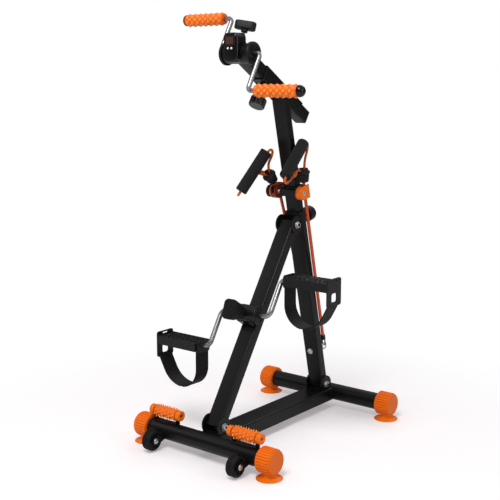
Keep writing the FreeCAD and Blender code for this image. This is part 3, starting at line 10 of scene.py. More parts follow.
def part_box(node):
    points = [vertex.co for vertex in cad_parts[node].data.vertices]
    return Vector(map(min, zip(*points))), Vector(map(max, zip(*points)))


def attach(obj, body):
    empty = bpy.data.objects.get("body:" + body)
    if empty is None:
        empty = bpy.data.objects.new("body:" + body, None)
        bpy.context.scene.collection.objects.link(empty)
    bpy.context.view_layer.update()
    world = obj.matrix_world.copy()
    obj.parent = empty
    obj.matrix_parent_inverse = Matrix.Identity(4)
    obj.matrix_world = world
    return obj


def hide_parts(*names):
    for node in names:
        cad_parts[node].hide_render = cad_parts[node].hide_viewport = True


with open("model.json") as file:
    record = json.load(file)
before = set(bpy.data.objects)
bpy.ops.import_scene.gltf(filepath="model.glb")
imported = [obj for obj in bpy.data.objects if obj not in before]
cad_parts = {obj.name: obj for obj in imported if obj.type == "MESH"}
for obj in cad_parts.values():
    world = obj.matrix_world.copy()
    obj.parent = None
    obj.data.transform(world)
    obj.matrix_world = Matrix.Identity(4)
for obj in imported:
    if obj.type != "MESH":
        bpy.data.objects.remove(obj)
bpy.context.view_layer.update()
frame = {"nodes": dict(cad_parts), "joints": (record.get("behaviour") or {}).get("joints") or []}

bl_info = {
    "name": "Limb Trainer",
    "version": (1, 0),
    "blender": (4, 5, 0),
    "location": "View3D > Sidebar > Trainer",
    "description": "Dresses the upper and lower limb trainer with its finishes and moulded pieces",
    "category": "Object",
}

NODES = frame["nodes"]
JOINTS = {joint["name"]: joint for joint in frame["joints"]}
# The object's two sides, and which way each lies along X
SIDES = {"left": -1, "right": 1}
X_AXIS, Y_AXIS, Z_AXIS = Vector((1, 0, 0)), Vector((0, 1, 0)), Vector((0, 0, 1))
# Edges that turn more than this stay sharp
SHARP = math.radians(32)
# Points nearer than this become one, in new meshes and in the CAD's
MERGE, CAD_MERGE = 0.000005, 0.00001

# Points of each pull cord, from the cup through the handle and back, in metres
CORD_POINTS = {
    "left": ((-0.046, 0.09103, 0.74206), (-0.046, 0.05698, 0.77149), (-0.02956, 0.07441, 0.81853),
             (-0.03299, 0.05415, 0.83094), (-0.08701, -0.01865, 0.69706), (-0.10289, -0.00095, 0.69385),
             (-0.07819, 0.03235, 0.75508), (-0.046, 0.04914, 0.76241), (-0.046, 0.08318, 0.73299)),
    "right": ((0.046, 0.12205, 0.74225), (0.046, 0.11567, 0.7868), (0.04074, 0.14748, 0.83508),
              (0.03954, 0.13185, 0.85326), (0.05246, 0.00925, 0.74874), (0.05366, 0.02487, 0.73056),
              (0.046, 0.10379, 0.78509), (0.046, 0.11018, 0.74055)),
}
# The tube's run from its pulley to the cup
RUN_POINTS = {
    "left": ((-0.046, 0.11661, 0.71202), (-0.046, 0.09391, 0.73164)),
    "right": ((0.046, 0.12165, 0.7028), (0.046, 0.11739, 0.73249)),
}
# The stretch tube from its pulley to the ferrule at the rear post
TUBE_POINTS = {
    "left": ((-0.046, 0.11906, 0.70931), (-0.046, 0.12046, 0.70733), (-0.02193, 0.26121, 0.24236)),
    "right": ((0.04573, 0.12275, 0.69976), (0.02193, 0.26121, 0.24236)),
}
# Where the whipping lies on the last stretch of the cord
WHIPPING_SHARE = {"left": 0.3, "right": 0.0}
# The ends of each pull handle, upper and lower
HANDLE_ENDS = {
    "left": ((-0.037, 0.04875, 0.821), (-0.083, -0.01325, 0.707)),
    "right": ((0.0405, 0.12275, 0.8455), (0.0515, 0.01835, 0.7565)),
}
# The bolted pivots of the front post, the rear post and their top joint
PIVOTS = ((0, -0.22525, 0.083), (0, 0.27175, 0.083), (0, 0.10930, 0.60605))
# The foot strap about its spindle: the span of its middle line, its levels from the top down, how far out
# its low stretch reaches as a share of the span, and the bends between its straight runs
STRAP_SPAN = (0.11125, 0.25275)
STRAP_TOP, STRAP_END, STRAP_PLATE, STRAP_LOW = -0.01305, -0.04375, -0.054, -0.1268
STRAP_LOW_SHARE = 0.72
STRAP_BENDS = (0.060, 0.074, 0.030)
# The outer face of a pedal's outer plate
PEDAL_OUTER = 0.258
# The pulley cases are a darker red between these places across the object: painted shade on their rims, and
# the same dark red on their inner cheeks
CASE_DARK_RED_SPAN = (-0.0530, 0.0395)
# Each lamp's place, the point it faces, its width and its power
LAMPS = {
    "key": ((0.6, -1.9, 3.0), (0, 0, 0.4), 1.3, 60),
    "side": ((2.9, 0.2, 1.5), (0, 0, 0.4), 1.2, 12),
    "fill": ((-2.6, -1.4, 2.0), (0, 0, 0.6), 1.6, 8),
    "rim": ((-0.8, 2.6, 2.6), (0, 0, 0.8), 1.4, 14),
}
# Brightness of the studio that the object mirrors, from straight below to straight above
STUDIO_BANDS = (
    (0.0, (0.30, 0.30, 0.30)), (0.44, (0.10, 0.10, 0.11)), (0.56, (0.05, 0.05, 0.055)),
    (0.72, (0.22, 0.22, 0.23)), (0.86, (0.75, 0.75, 0.76)), (1.0, (0.35, 0.35, 0.36)),
)
# The floor turns from its own shade into white between these distances from the middle
FLOOR_NEAR, FLOOR_FAR = 0.40, 1.1
FLOOR_LIFT, LIFT_TINT = 0.25, (1, 0.93, 0.975)


def colour(name, words, default):
    return FloatVectorProperty(name=name, description=words, subtype="COLOR", size=3, min=0, max=1,
                               default=default)


def length(name, words, default):
    return FloatProperty(name=name, description=words, default=default, unit="LENGTH", subtype="DISTANCE",
                         precision=4)


def count(name, words, default):
    return IntProperty(name=name, description=words, default=default, min=2)


class TrainerColours(bpy.types.PropertyGroup):
    paint: colour("Frame paint", "Colour of the powder coated tubes", (0.0058, 0.0054, 0.0057))
    plastic: colour("Black plastic", "Colour of knobs, plugs and pedals", (0.0055, 0.0053, 0.0056))
    rubber: colour("Black rubber", "Colour of straps and wheels", (0.007, 0.007, 0.0075))
    orange: colour("Orange plastic", "Colour of end caps, feet and rope cases", (1.0, 0.180, 0.003))
    # Painted highlight: the tops of the studs and points are lighter and yellower than the orange between
    # them
    grip: colour("Orange rubber", "Colour of the tops of studs and points", (1.0, 0.31, 0.012))
    # Painted shade: the orange between the studs and points is darker and redder
    hollow_shade: colour("Orange painted shade", "Colour between the studs and points", (0.90, 0.125, 0.006))
    # Dark red: painted shade on the rims of the pulley cases, also used on their inner cheeks and on the left
    # grip cap
    dark_red: colour("Dark red", "Colour of the pulley cases towards the post", (0.20, 0.022, 0.010))
    foam: colour("Handle foam", "Colour of the foam on the pull handles", (0.009, 0.009, 0.0095))
    cord: colour("Stretch tube", "Colour of the stretch tubes", (0.58, 0.066, 0.012))
    braid: colour("Cord", "Colour of the cords through the handles", (0.86, 0.160, 0.025))
    steel: colour("Bright steel", "Colour of bolts and nuts", (0.62, 0.62, 0.64))
    chrome: colour("Chrome", "Colour of the crank rods", (0.36, 0.355, 0.365))
    window: colour("Display window", "Colour of the window round the display", (0.012, 0.007, 0.007))
    screen: colour("Screen", "Colour of the liquid crystal screen", (0.072, 0.026, 0.022))
    button: colour("Button", "Colour of the buttons", (0.80, 0.80, 0.80))
    floor: colour("Floor", "Colour of the floor", (0.86, 0.84, 0.84))


class TrainerSizes(bpy.types.PropertyGroup):
    stud_radius: length("Stud radius", "Radius of a stud on the hand grips", 0.0082)
    stud_rise: length("Stud rise", "Height of a stud on the hand grips", 0.0034)
    grip_core: length("Grip core", "Radius of the hand grips between the studs", 0.0151)
    studs_round: count("Studs round", "Studs round a hand grip", 6)
    studs_along: count("Studs along", "Rings of studs along a hand grip", 13)
    spikes_round: count("Points round", "Points in one ring of a roller", 10)
    spike_rings: count("Rings of points", "Rings of points along a roller", 6)
    cord_radius: length("Cord radius", "Radius of the pull cords", 0.0036)
    tube_radius: length("Tube radius", "Radius of the stretch tubes", 0.0048)
    foot_radius: length("Foot radius", "Radius of a suction foot", 0.036)
    strap_width: length("Strap width", "Width of a foot strap", 0.052)
    strap_thick: length("Strap thickness", "Thickness of a foot strap", 0.0024)
    camera_place: FloatVectorProperty(name="Camera place", description="Place of the camera", subtype="XYZ",
                                      size=3, unit="LENGTH", default=(1.6783, -2.18105, 1.0177))
    camera_turn: FloatVectorProperty(name="Camera turn", description="Turn of the camera", subtype="EULER",
                                     size=3, unit="ROTATION",
                                     default=(math.radians(80.22), 0.0, math.radians(38.545)))
    camera_lens: FloatProperty(name="Lens", description="Focal length in millimetres", default=70.2, min=1)


# Shader sums

class Socket:
    """An output of a node that takes part in sums."""

    def __init__(self, shader, output):
        self.shader = shader
        self.output = output

    def math(self, operation, other=0.0, swapped=False):
        first, second = (other, self) if swapped else (self, other)
        return self.shader.node("Math", {"operation": operation}, {0: first, 1: second})

    def __add__(self, other):
        return self.math("ADD", other)

    __radd__ = __add__

    def __sub__(self, other):
        return self.math("SUBTRACT", other)

    def __rsub__(self, other):
        return self.math("SUBTRACT", other, True)

    def __mul__(self, other):
        return self.math("MULTIPLY", other)

    __rmul__ = __mul__

    def __gt__(self, other):
        return self.math("GREATER_THAN", other)

    def __lt__(self, other):
        return self.math("LESS_THAN", other)


class Finish:
    """A material, or the world, and its nodes."""

    def __init__(self, name, world=False):
        self.owner = (bpy.data.worlds if world else bpy.data.materials).new(name)
        self.owner.use_nodes = True
        self.tree = self.owner.node_tree
        self.tree.nodes.clear()
        self.output = self.tree.nodes.new("ShaderNodeOutput" + ("World" if world else "Material"))

    def node(self, kind, settings=None, inputs=None, out=0):
        made = self.tree.nodes.new("ShaderNode" + kind)
        for key, value in (settings or {}).items():
            if key == "stops":
                self.stops(made.color_ramp, value)
            else:
                setattr(made, key, value)
        for key, value in (inputs or {}).items():
            if isinstance(value, Socket):
                self.tree.links.new(value.output, made.inputs[key])
            else:
                made.inputs[key].default_value = value
        return Socket(self, made.outputs[out])

    def stops(self, ramp, stops):
        while len(ramp.elements) < len(stops):
            ramp.elements.new(1)
        for element, (level, tint) in zip(ramp.elements, stops):
            element.position = level
            element.color = (*tint, 1)

    def coordinates(self, which="Object"):
        return self.node("TexCoord", out=which)

    def noise(self, scale, detail):
        return self.node("TexNoise", {}, {"Vector": self.coordinates(), "Scale": scale, "Detail": detail})

    def cells(self, scale):
        return self.node("TexVoronoi", {}, {"Vector": self.coordinates(), "Scale": scale}, "Distance")

    def mix(self, factor, one, two):
        """A colour between two colours."""
        one, two = [tint if isinstance(tint, Socket) else (*tint, 1) for tint in (one, two)]
        return self.node("Mix", {"data_type": "RGBA"}, {"Factor": factor, 6: one, 7: two}, 2)

    def drift(self, factor, tint, start, end):
        """A colour between two shades of a tint."""
        return self.mix(factor, shade(tint, start), shade(tint, end))

    def bump(self, height, strength, distance=0.0003):
        return self.node("Bump", {}, {"Height": height, "Strength": strength, "Distance": distance})

    def glow(self, kind, tint, strength):
        """An emission or a background of one colour."""
        return self.node(kind, {}, {"Color": tint if isinstance(tint, Socket) else (*tint, 1),
                                    "Strength": strength})

    def blend(self, factor, one, two):
        return self.node("MixShader", {}, {0: factor, 1: one, 2: two})

    def finish(self, **inputs):
        """Give the sockets of the main shader their values or links."""
        values = {key.replace("_", " "): value for key, value in inputs.items()}
        return self.close(self.node("BsdfPrincipled", {}, values))

    def close(self, shader):
        self.tree.links.new(shader.output, self.output.inputs["Surface"])
        return self.owner


def shade(tint, share):
    return tuple(min(1, part * share) for part in tint)


def grained(name, tint, shades, roughness, shine, cloud, grain, relief):
    """A finish whose shade and roughness drift with a coarse noise, over the relief of a fine one."""
    f = Finish(name)
    fine, coarse = f.noise(*grain), f.noise(*cloud)
    return f.finish(Base_Color=f.drift(coarse, tint, *shades), Roughness=roughness[0] + coarse * roughness[1],
                    Specular_IOR_Level=shine, Normal=f.bump(fine, relief))


def powder_coat(name, tint):
    return grained(name, tint, (0.8, 1.3), (0.26, 0.10), 0.20, (14, 4), (900, 2), 0.06)


def moulded(name, tint, roughness=0.5, grain=0.25, shine=0.24):
    """Moulded plastic with a fine spark-eroded grain."""
    return grained(name, tint, (0.82, 1.25), (roughness - 0.06, 0.12), shine, (22, 3), (1600, 2), grain)


def soft_rubber(name, tint, roughness=0.62, shine=0.20):
    return grained(name, tint, (0.86, 1.16), (roughness - 0.08, 0.16), shine, (30, 5), (700, 3), 0.12)


def two_tone(name, inner, outer, span, roughness=0.30):
    """Moulded plastic of one colour between two places across the object, another outside them."""
    f = Finish(name)
    low, high = span
    across = f.node("SeparateXYZ", {}, {0: f.coordinates()}, "X")
    outside = (across - (low + high) / 2).math("ABSOLUTE") > (high - low) / 2
    cloud = f.noise(22, 3)
    return f.finish(Base_Color=f.mix(outside, inner, f.drift(cloud, outer, 0.9, 1.1)),
                    Roughness=roughness + cloud * 0.08, Specular_IOR_Level=0.35, Normal=f.bump(cloud, 0.02))


def braided(name, tint):
    """A braided cover of light and dark strands."""
    f = Finish(name)
    strands = f.cells(330)
    return f.finish(Base_Color=f.drift(strands, tint, 0.95, 0.55), Roughness=0.45 + strands * 0.2,
                    Specular_IOR_Level=0.3, Normal=f.bump(strands, 0.4, 0.0005))


def studded(name, tint, deep, shine=0.4):
    """Bright rubber or plastic in its tint on the tops, with painted shade in a darker colour where it lies
    low between its studs or ribs.
    """
    f = Finish(name)
    rise = f.node("Attribute", {"attribute_name": "rise"}, {}, "Fac")
    dust = f.noise(60, 4)
    # Painted shade: the deep colour where the surface lies low, the tint on the tops
    return f.finish(Base_Color=f.mix(rise, deep, tint), Roughness=0.32 + dust * 0.12,
                    Specular_IOR_Level=shine, Normal=f.bump(dust, 0.05, 0.0002))


def foam(name, tint):
    """Closed-cell foam: small round cells over a soft dull skin."""
    f = Finish(name)
    cells, cloud = f.cells(520), f.noise(40, 4)
    return f.finish(Base_Color=f.drift(cloud, tint, 0.88, 1.12), Roughness=0.74 + cloud * 0.12,
                    Sheen_Weight=0.04, Sheen_Roughness=0.6, Specular_IOR_Level=0.2,
                    Normal=f.bump(cells, 0.3, 0.0005))


def bright_metal(name, tint):
    """Plated metal with faint smudges."""
    f = Finish(name)
    smudge = f.noise(35, 4)
    return f.finish(Base_Color=f.drift(smudge, tint, 0.92, 1.06), Metallic=1.0,
                    Roughness=0.27 + smudge * 0.05)


def zinc(name, tint):
    """Zinc plate with its crystals."""
    f = Finish(name)
    crystals, smudge = f.cells(260), f.noise(60, 3)
    return f.finish(Base_Color=f.drift(smudge, tint, 0.8, 1.1), Metallic=1.0,
                    Roughness=0.24 + crystals * 0.2 + smudge * 0.06, Normal=f.bump(smudge, 0.08, 0.0004))


def clear_window(name, tint):
    """A dark glossy pane."""
    f = Finish(name)
    haze = f.noise(90, 3)
    return f.finish(Base_Color=f.drift(haze, tint, 0.9, 1.1), Roughness=0.10 + haze * 0.05,
                    Coat_Weight=0.6, Coat_Roughness=0.05, Normal=f.bump(haze, 0.03))


def screen_face(name, tint):
    """A dull screen with faint square cells."""
    f = Finish(name)
    cells = f.node("TexVoronoi", {"distance": "CHEBYCHEV"},
                   {"Vector": f.coordinates(), "Scale": 900, "Randomness": 0.0}, "Distance")
    haze = f.noise(50, 2)
    return f.finish(Base_Color=f.drift(haze * 0.6 + cells * 0.2, tint, 0.85, 1.1),
                    Roughness=0.25 + haze * 0.1, Normal=f.bump(cells, 0.05, 0.0002))


MATERIALS = {}


def make_materials():
    c = bpy.context.scene.trainer_colours
    left_half = (-1, 0)
    MATERIALS.update({
        "paint": powder_coat("powder_coat", c.paint),
        "plastic": moulded("black_plastic", c.plastic),
        "housing": moulded("housing_plastic", c.plastic, 0.36, 0.12, 0.28),
        "gloss": moulded("glossy_plastic", shade(c.plastic, 0.8), 0.16, 0.02, 0.45),
        "rubber": soft_rubber("black_rubber", c.rubber),
        "orange": moulded("orange_plastic", c.orange, 0.36, 0.08, 0.3),
        # The left grip cap and the pulley cases' rims and inner cheeks take the dark red; on the case rims it
        # is painted shade
        "grip_caps": two_tone("grip_cap_plastic", c.dark_red, shade(c.plastic, 0.8), left_half, 0.16),
        "case": two_tone("case_plastic", c.dark_red, c.orange, CASE_DARK_RED_SPAN),
        # Painted highlight: the pedal ribs in a lighter copy of the black plastic; the flange screws share it
        "tread": moulded("tread_plastic", shade(c.plastic, 2.2), 0.34, 0.05, 0.36),
        # Grips and rollers: painted highlight on the tops of their studs and points, painted shade between
        # them
        "grip": studded("grip_rubber", c.grip, c.hollow_shade),
        "foam": foam("handle_foam", c.foam),
        "cord": soft_rubber("cord_rubber", c.cord, 0.40, 0.45),
        # End caps: painted shade, a darker orange, in the grooves between the ribs
        "cap": studded("cap_plastic", c.orange, shade(c.orange, 0.80), 0.2),
        "braid": braided("braided_cord", c.braid),
        "steel": zinc("zinc_steel", c.steel),
        "chrome": bright_metal("chrome", c.chrome),
        "window": clear_window("display_window", c.window),
        "screen": screen_face("display_screen", c.screen),
        "button": moulded("button_plastic", c.button, 0.35, 0.05),
    })


# Places and mesh helpers

def joint_place(name):
    return Vector(JOINTS[name]["pos_m"])


def facing(place, way):
    """Stand local Z along a way, at a place."""
    return Matrix.Translation(place) @ Z_AXIS.rotation_difference(Vector(way)).to_matrix().to_4x4()


def beside(centre, offset, way):
    """Stand local Z along X, or against it, at an offset along X from a place."""
    return facing(Vector(centre) + X_AXIS * offset, X_AXIS * way)


def around_z(angle, radius, height):
    """Stand a template on the side of a cylinder about Z."""
    return (Matrix.Translation((0, 0, height)) @ Matrix.Rotation(angle, 4, "Z")
            @ Matrix.Rotation(math.pi / 2, 4, "Y") @ Matrix.Translation((0, 0, radius)))


def smooth_by_angle():
    """Modifier nodes that join a CAD mesh's triangles and smooth it between its sharp edges."""
    name = "Smooth Between Sharp Edges"
    tree = bpy.data.node_groups.get(name)
    if tree:
        return tree
    tree = bpy.data.node_groups.new(name, "GeometryNodeTree")
    tree.interface.new_socket("Geometry", in_out="INPUT", socket_type="NodeSocketGeometry")
    tree.interface.new_socket("Geometry", in_out="OUTPUT", socket_type="NodeSocketGeometry")
    nodes, links = tree.nodes, tree.links
    start, end = nodes.new("NodeGroupInput"), nodes.new("NodeGroupOutput")
    merge = nodes.new("GeometryNodeMergeByDistance")
    merge.inputs["Distance"].default_value = CAD_MERGE
    faces = nodes.new("GeometryNodeSetShadeSmooth")
    edges = nodes.new("GeometryNodeSetShadeSmooth")
    edges.domain = "EDGE"
    edges.inputs["Shade Smooth"].default_value = False
    angle = nodes.new("GeometryNodeInputMeshEdgeAngle")
    compare = nodes.new("FunctionNodeCompare")
    compare.inputs[1].default_value = SHARP
    links.new(start.outputs[0], merge.inputs[0])
    links.new(merge.outputs[0], faces.inputs[0])
    links.new(faces.outputs[0], edges.inputs[0])
    links.new(angle.outputs["Unsigned Angle"], compare.inputs[0])
    links.new(compare.outputs[0], edges.inputs["Selection"])
    links.new(edges.outputs[0], end.inputs[0])
    return tree


def dress(material, *names):
    """Give CAD nodes their finish and smooth their round faces."""
    for name in names:
        node = NODES[name]
        node.data.materials.clear()
        node.data.materials.append(None)
        node.material_slots[0].link = "OBJECT"
        node.material_slots[0].material = MATERIALS[material]
        modifier = node.modifiers.new("Smooth", "NODES")
        modifier.node_group = smooth_by_angle()


def template(name, mesh):
    """Mesh data to stamp many times."""
    data = bpy.data.meshes.new(name)
    mesh.to_mesh(data)
    mesh.free()
    return data


def stamp(mesh, data, matrix):
    """Add a moved copy of a template to a bmesh."""
    copy = data.copy()
    copy.transform(matrix)
    mesh.from_mesh(copy)
    bpy.data.meshes.remove(copy)


def gathered(*stamps):
    """A bmesh of templates, each given with its matrix."""
    mesh = bmesh.new()
    for data, matrix in stamps:
        stamp(mesh, data, matrix)
    return mesh


def staggered(data, radius, per_ring, levels):
    """Stamps on the side of a cylinder, each ring half a step round from the one before."""
    return [(data, around_z(math.tau * (index + (ring % 2) / 2) / per_ring, radius, level))
            for ring, level in enumerate(levels) for index in range(per_ring)]


def move(mesh, matrix):
    bmesh.ops.transform(mesh, matrix=matrix, verts=mesh.verts)


def settled(thing, *helpers):
    """The mesh that an object's curve or modifiers make. The object and its helpers are removed."""
    for item in (thing, *helpers):
        bpy.context.scene.collection.objects.link(item)
    bpy.context.view_layer.update()
    mesh = bpy.data.meshes.new_from_object(thing.evaluated_get(bpy.context.evaluated_depsgraph_get()))
    for item in (thing, *helpers):
        bpy.data.objects.remove(item)
    return mesh


def bored(mesh, cutter):
    """The template left when one bmesh is cut out of another."""
    blank = bpy.data.objects.new("blank", template("blank", mesh))
    drill = bpy.data.objects.new("drill", template("drill", cutter))
    cut = blank.modifiers.new("Bore", "BOOLEAN")
    cut.operation = "DIFFERENCE"
    cut.solver = "EXACT"
    cut.object = drill
    return settled(blank, drill)


def put(mesh, name, body, material, replaces=()):
    """Turn a bmesh into a piece that rides on a body."""
    bmesh.ops.remove_doubles(mesh, verts=mesh.verts, dist=MERGE)
    bmesh.ops.recalc_face_normals(mesh, faces=mesh.faces)
    for face in mesh.faces:
        face.smooth = True
    for edge in mesh.edges:
        edge.smooth = len(edge.link_faces) == 2 and edge.calc_face_angle(math.pi) < SHARP
    return seat(bpy.data.objects.new(name, template(name, mesh)), body, material, replaces)


def seat(piece, body, material, replaces=()):
    """Link a new piece, finish it and let it ride on its body."""
    bpy.context.scene.collection.objects.link(piece)
    piece.data.materials.append(MATERIALS[material])
    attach(piece, body)
    if replaces:
        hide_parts(*replaces)
    return piece


def mark_rise(mesh, core, rise):
    """Keep each point's height above a core about Z, as a share of the whole rise, for the painted shade and
    highlight of the finish.
    """
    layer = mesh.verts.layers.float.new("rise")
    for vert in mesh.verts:
        vert[layer] = min(1, max(0, (vert.co.xy.length - core) / rise))


def lathe(profile, steps=64):
    """Turn a profile of radius and height about Z, as a template."""
    mesh = bmesh.new()
    verts = [mesh.verts.new((r, 0, z)) for r, z in profile]
    edges = [mesh.edges.new(pair) for pair in zip(verts, verts[1:])]
    bmesh.ops.spin(mesh, geom=verts + edges, cent=(0, 0, 0), axis=(0, 0, 1), angle=math.tau, steps=steps,
                   use_merge=True)
    bmesh.ops.remove_doubles(mesh, verts=mesh.verts, dist=MERGE)
    bmesh.ops.recalc_face_normals(mesh, faces=mesh.faces)
    return template("turned", mesh)


def arc(centre_r, centre_z, radius, start, end, steps=4):
    """Points of a round corner of a profile, by angle from the radius direction."""
    points = []
    for i in range(steps + 1):
        a = math.radians(start + (end - start) * i / steps)
        points.append((centre_r + radius * math.cos(a), centre_z + radius * math.sin(a)))
    return points


def sleeve(bore, radius, start, end, corner, steps, sides, dish=0.0):
    """A bored barrel about Z with rounded rims, its ends dished towards the bore."""
    return lathe([(bore, start + dish), *arc(radius - corner, start + corner, corner, -90, 0, steps),
                  *arc(radius - corner, end - corner, corner, 0, 90, steps), (bore, end - dish),
                  (bore, start + dish)], sides)


def rounded_line(corners, bends, steps=10):
    """Points along straight runs in a plane, with an arc of a given radius at each inner corner."""
    line = [Vector(corners[0])]
    for before, corner, after, bend in zip(corners, corners[1:], corners[2:], bends):
        corner = Vector(corner)
        back, ahead = (Vector(before) - corner).normalized(), (Vector(after) - corner).normalized()
        turn = math.pi - back.angle(ahead)
        centre = corner + (back + ahead).normalized() * bend / math.cos(turn / 2)
        start = corner + back * bend * math.tan(turn / 2) - centre
        way = 1 if back.cross(ahead) < 0 else -1
        for i in range(steps + 1):
            line.append(centre + Matrix.Rotation(way * turn * i / steps, 2) @ start)
    return [*line, Vector(corners[-1])]


def block(size):
    """A bmesh of a plain box about the origin, to be shaped further."""
    mesh = bmesh.new()
    bmesh.ops.create_cube(mesh, size=1, matrix=Matrix.Diagonal((*size, 1)))
    return mesh


def round_edges(mesh, edges, radius, segments):
    bmesh.ops.bevel(mesh, geom=edges, offset=radius, segments=segments, affect="EDGES", profile=0.5,
                    material=-1)


def soft_box(size, radius, segments=2):
    """A box about the origin with rounded edges, as a template."""
    mesh = block(size)
    round_edges(mesh, mesh.edges[:], radius, segments)
    return template("box", mesh)


def soft_slab(size, corner, rim=0.0, steps=8):
    """A slab about the origin: upright edges rounded by the corner, level ones by the rim."""
    mesh = block(size)
    half = size[2] / 2
    upright = [e for e in mesh.edges if abs(e.verts[0].co.z - e.verts[1].co.z) > half]
    round_edges(mesh, upright, corner, steps)
    if rim:
        level = [e for e in mesh.edges if abs(e.verts[0].co.z - e.verts[1].co.z) < half]
        round_edges(mesh, level, rim, 4)
    return template("slab", mesh)


def hex_head(radius, height):
    """A six-sided head on Z from the floor up, its top rim chamfered."""
    mesh = bmesh.new()
    bmesh.ops.create_cone(mesh, cap_ends=True, segments=6, radius1=radius, radius2=radius, depth=height)
    rim = [e for e in mesh.edges if all(v.co.z > 0 for v in e.verts)]
    round_edges(mesh, rim, height * 0.16, 2)
    move(mesh, Matrix.Translation((0, 0, height / 2)))
    return template("hex", mesh)


def dome_head(radius, height):
    """A domed head on Z with a round socket."""
    socket, deep, skirt = radius * 0.42, height * 0.35, height * 0.25
    dome = [(radius * math.cos(a), skirt + (height - skirt) * math.sin(a))
            for a in (math.radians(12 * i) for i in range(6))]
    return lathe([(0, deep), (socket * 0.8, deep), (socket, height * 0.93), *reversed(dome), (radius, 0),
                  (0, 0)], 40)


def round_curve(name, points, radius, smooth):
    """A round curve: a smooth line guided by points, or straight from one to the next."""
    data = bpy.data.curves.new(name, "CURVE")
    data.dimensions = "3D"
    data.bevel_depth = radius
    data.bevel_resolution = 5 if smooth else 7
    data.resolution_u = 24
    data.use_fill_caps = True
    spline = data.splines.new("NURBS" if smooth else "POLY")
    spline.points.add(len(points) - 1)
    for point, where in zip(spline.points, points):
        point.co = (*where, 1)
    if smooth:
        spline.order_u = 3
        spline.use_endpoint_u = True
    return data


def rod_piece(name, points, radius, body, material, replaces=(), smooth=False):
    """A round rod along points, as a mesh."""
    solid = settled(bpy.data.objects.new(name, round_curve(name, points, radius, smooth)))
    for face in solid.polygons:
        face.use_smooth = True
    return seat(bpy.data.objects.new(name, solid), body, material, replaces)


def cord_piece(name, points, radius, body, material, replaces):
    """A round cord, held by the object at both ends."""
    data = round_curve(name, points, radius, True)
    piece = seat(bpy.data.objects.new(name, data), body, material, replaces)


# Operators

class TRAINER_OT_stage(bpy.types.Operator):
    """Set up the floor, the lights and the camera"""
    bl_idname = "trainer.stage"
    bl_label = "Stage"

    def execute(self, context):
        scene = context.scene
        scene.view_settings.view_transform = "Standard"
        self.floor(scene.trainer_colours.floor)
        scene.world = self.world()
        for name, (spot, aim, width, power) in LAMPS.items():
            lamp = bpy.data.lights.new(name, "AREA")
            lamp.energy = power
            lamp.size = width
            holder = bpy.data.objects.new(name, lamp)
            holder.location = spot
            holder.rotation_euler = (Vector(aim) - Vector(spot)).to_track_quat("-Z", "Y").to_euler()
            scene.collection.objects.link(holder)
        camera = bpy.data.objects.new("camera", bpy.data.cameras.new("camera"))
        camera.data.sensor_width = 36
        camera.data.lens = scene.trainer_sizes.camera_lens
        camera.location = scene.trainer_sizes.camera_place
        camera.rotation_euler = scene.trainer_sizes.camera_turn
        scene.collection.objects.link(camera)
        scene.camera = camera
        return {"FINISHED"}

    def floor(self, tint):
        """A wide round floor that the camera sees a little lighter, and white far from the object."""
        mesh = bmesh.new()
        bmesh.ops.create_circle(mesh, cap_ends=True, segments=96, radius=14)
        floor = bpy.data.objects.new("floor", template("floor", mesh))
        bpy.context.scene.collection.objects.link(floor)
        f = Finish("floor")
        reach = f.node("VectorMath", {"operation": "LENGTH"}, {0: f.coordinates()}, "Value")
        far = f.node("MapRange", {"interpolation_type": "SMOOTHSTEP"},
                     {"Value": reach, "From Min": FLOOR_NEAR, "From Max": FLOOR_FAR})
        seen = f.node("LightPath", out="Is Camera Ray")
        ground = f.node("BsdfPrincipled", {}, {"Base Color": f.drift(f.noise(5, 3), tint, 0.99, 1.01),
                                               "Roughness": 0.9, "Specular IOR Level": 0.2})
        lifted = f.node("AddShader", {}, {0: ground, 1: f.glow("Emission", LIFT_TINT, FLOOR_LIFT)})
        white = f.glow("Emission", (1, 1, 1), 1.0)
        floor.data.materials.append(f.close(f.blend(far * seen, f.blend(seen, ground, lifted), white)))

    def world(self):
        """White for the camera, a studio of soft bands for reflections, pale light for the rest."""
        f = Finish("studio", world=True)
        camera, glossy, through = [f.node("LightPath", out="Is %s Ray" % kind)
                                   for kind in ("Camera", "Glossy", "Transmission")]
        up, across = [f.node("SeparateXYZ", {}, {"Vector": f.coordinates("Generated")}, axis)
                      for axis in "ZX"]
        bands = f.node("ValToRGB", {"stops": STUDIO_BANDS}, {"Fac": up * 0.5 + across * 0.12 + 0.5})
        white, pale = [f.glow("Background", (1, 1, 1), strength) for strength in (1.0, 0.40)]
        mirrored = f.blend(glossy, pale, f.glow("Background", bands, 1.0))
        return f.close(f.blend(camera + through, mirrored, white))


class TRAINER_OT_frame(bpy.types.Operator):
    """Finish the painted steel frame and its plastic fittings"""
    bl_idname = "trainer.frame"
    bl_label = "Frame"

    def execute(self, context):
        dress("paint", "cross_tubes", "base_rail", "post_brackets", "front_post", "rear_post", "wheel_forks",
              "roller_brackets", "lower_saddle", "upper_post", "arm_sleeve", "arm_tube")
        dress("plastic", "post_collar", "rope_collar", "sleeve_rims", "arm_end_plug", "post_lock_knob",
              "rope_clamp_knob", "lower_tension_knob", "post_glide", "tube_hooks", "pulley_left",
              "pulley_right", "upper_tension_knob", "cord_cup_left", "cord_cup_right", "wheel_left",
              "wheel_right")
        dress("housing", "pedal_left", "pedal_right", "lower_housing", "lower_flanges", "upper_housing",
              "upper_flanges", "display_case")
        dress("orange", "end_caps", "roller_collars", "suction_feet")
        dress("case", "pulley_cases")
        dress("rubber", "lower_brake_shoe", "upper_brake_shoe", "pedal_strap_left", "pedal_strap_right")
        dress("steel", "frame_bolts", "tube_anchor")
        dress("button", "display_button_left", "display_button_right")
        dress("cord", "stretch_tubes")
        dress("foam", "pull_handle_left", "pull_handle_right")
        dress("window", "display_window")
        dress("chrome", "upper_crank", "lower_crank")
        dress("gloss", "arm_lock_knob")
        dress("grip_caps", "grip_end_caps")
        return {"FINISHED"}


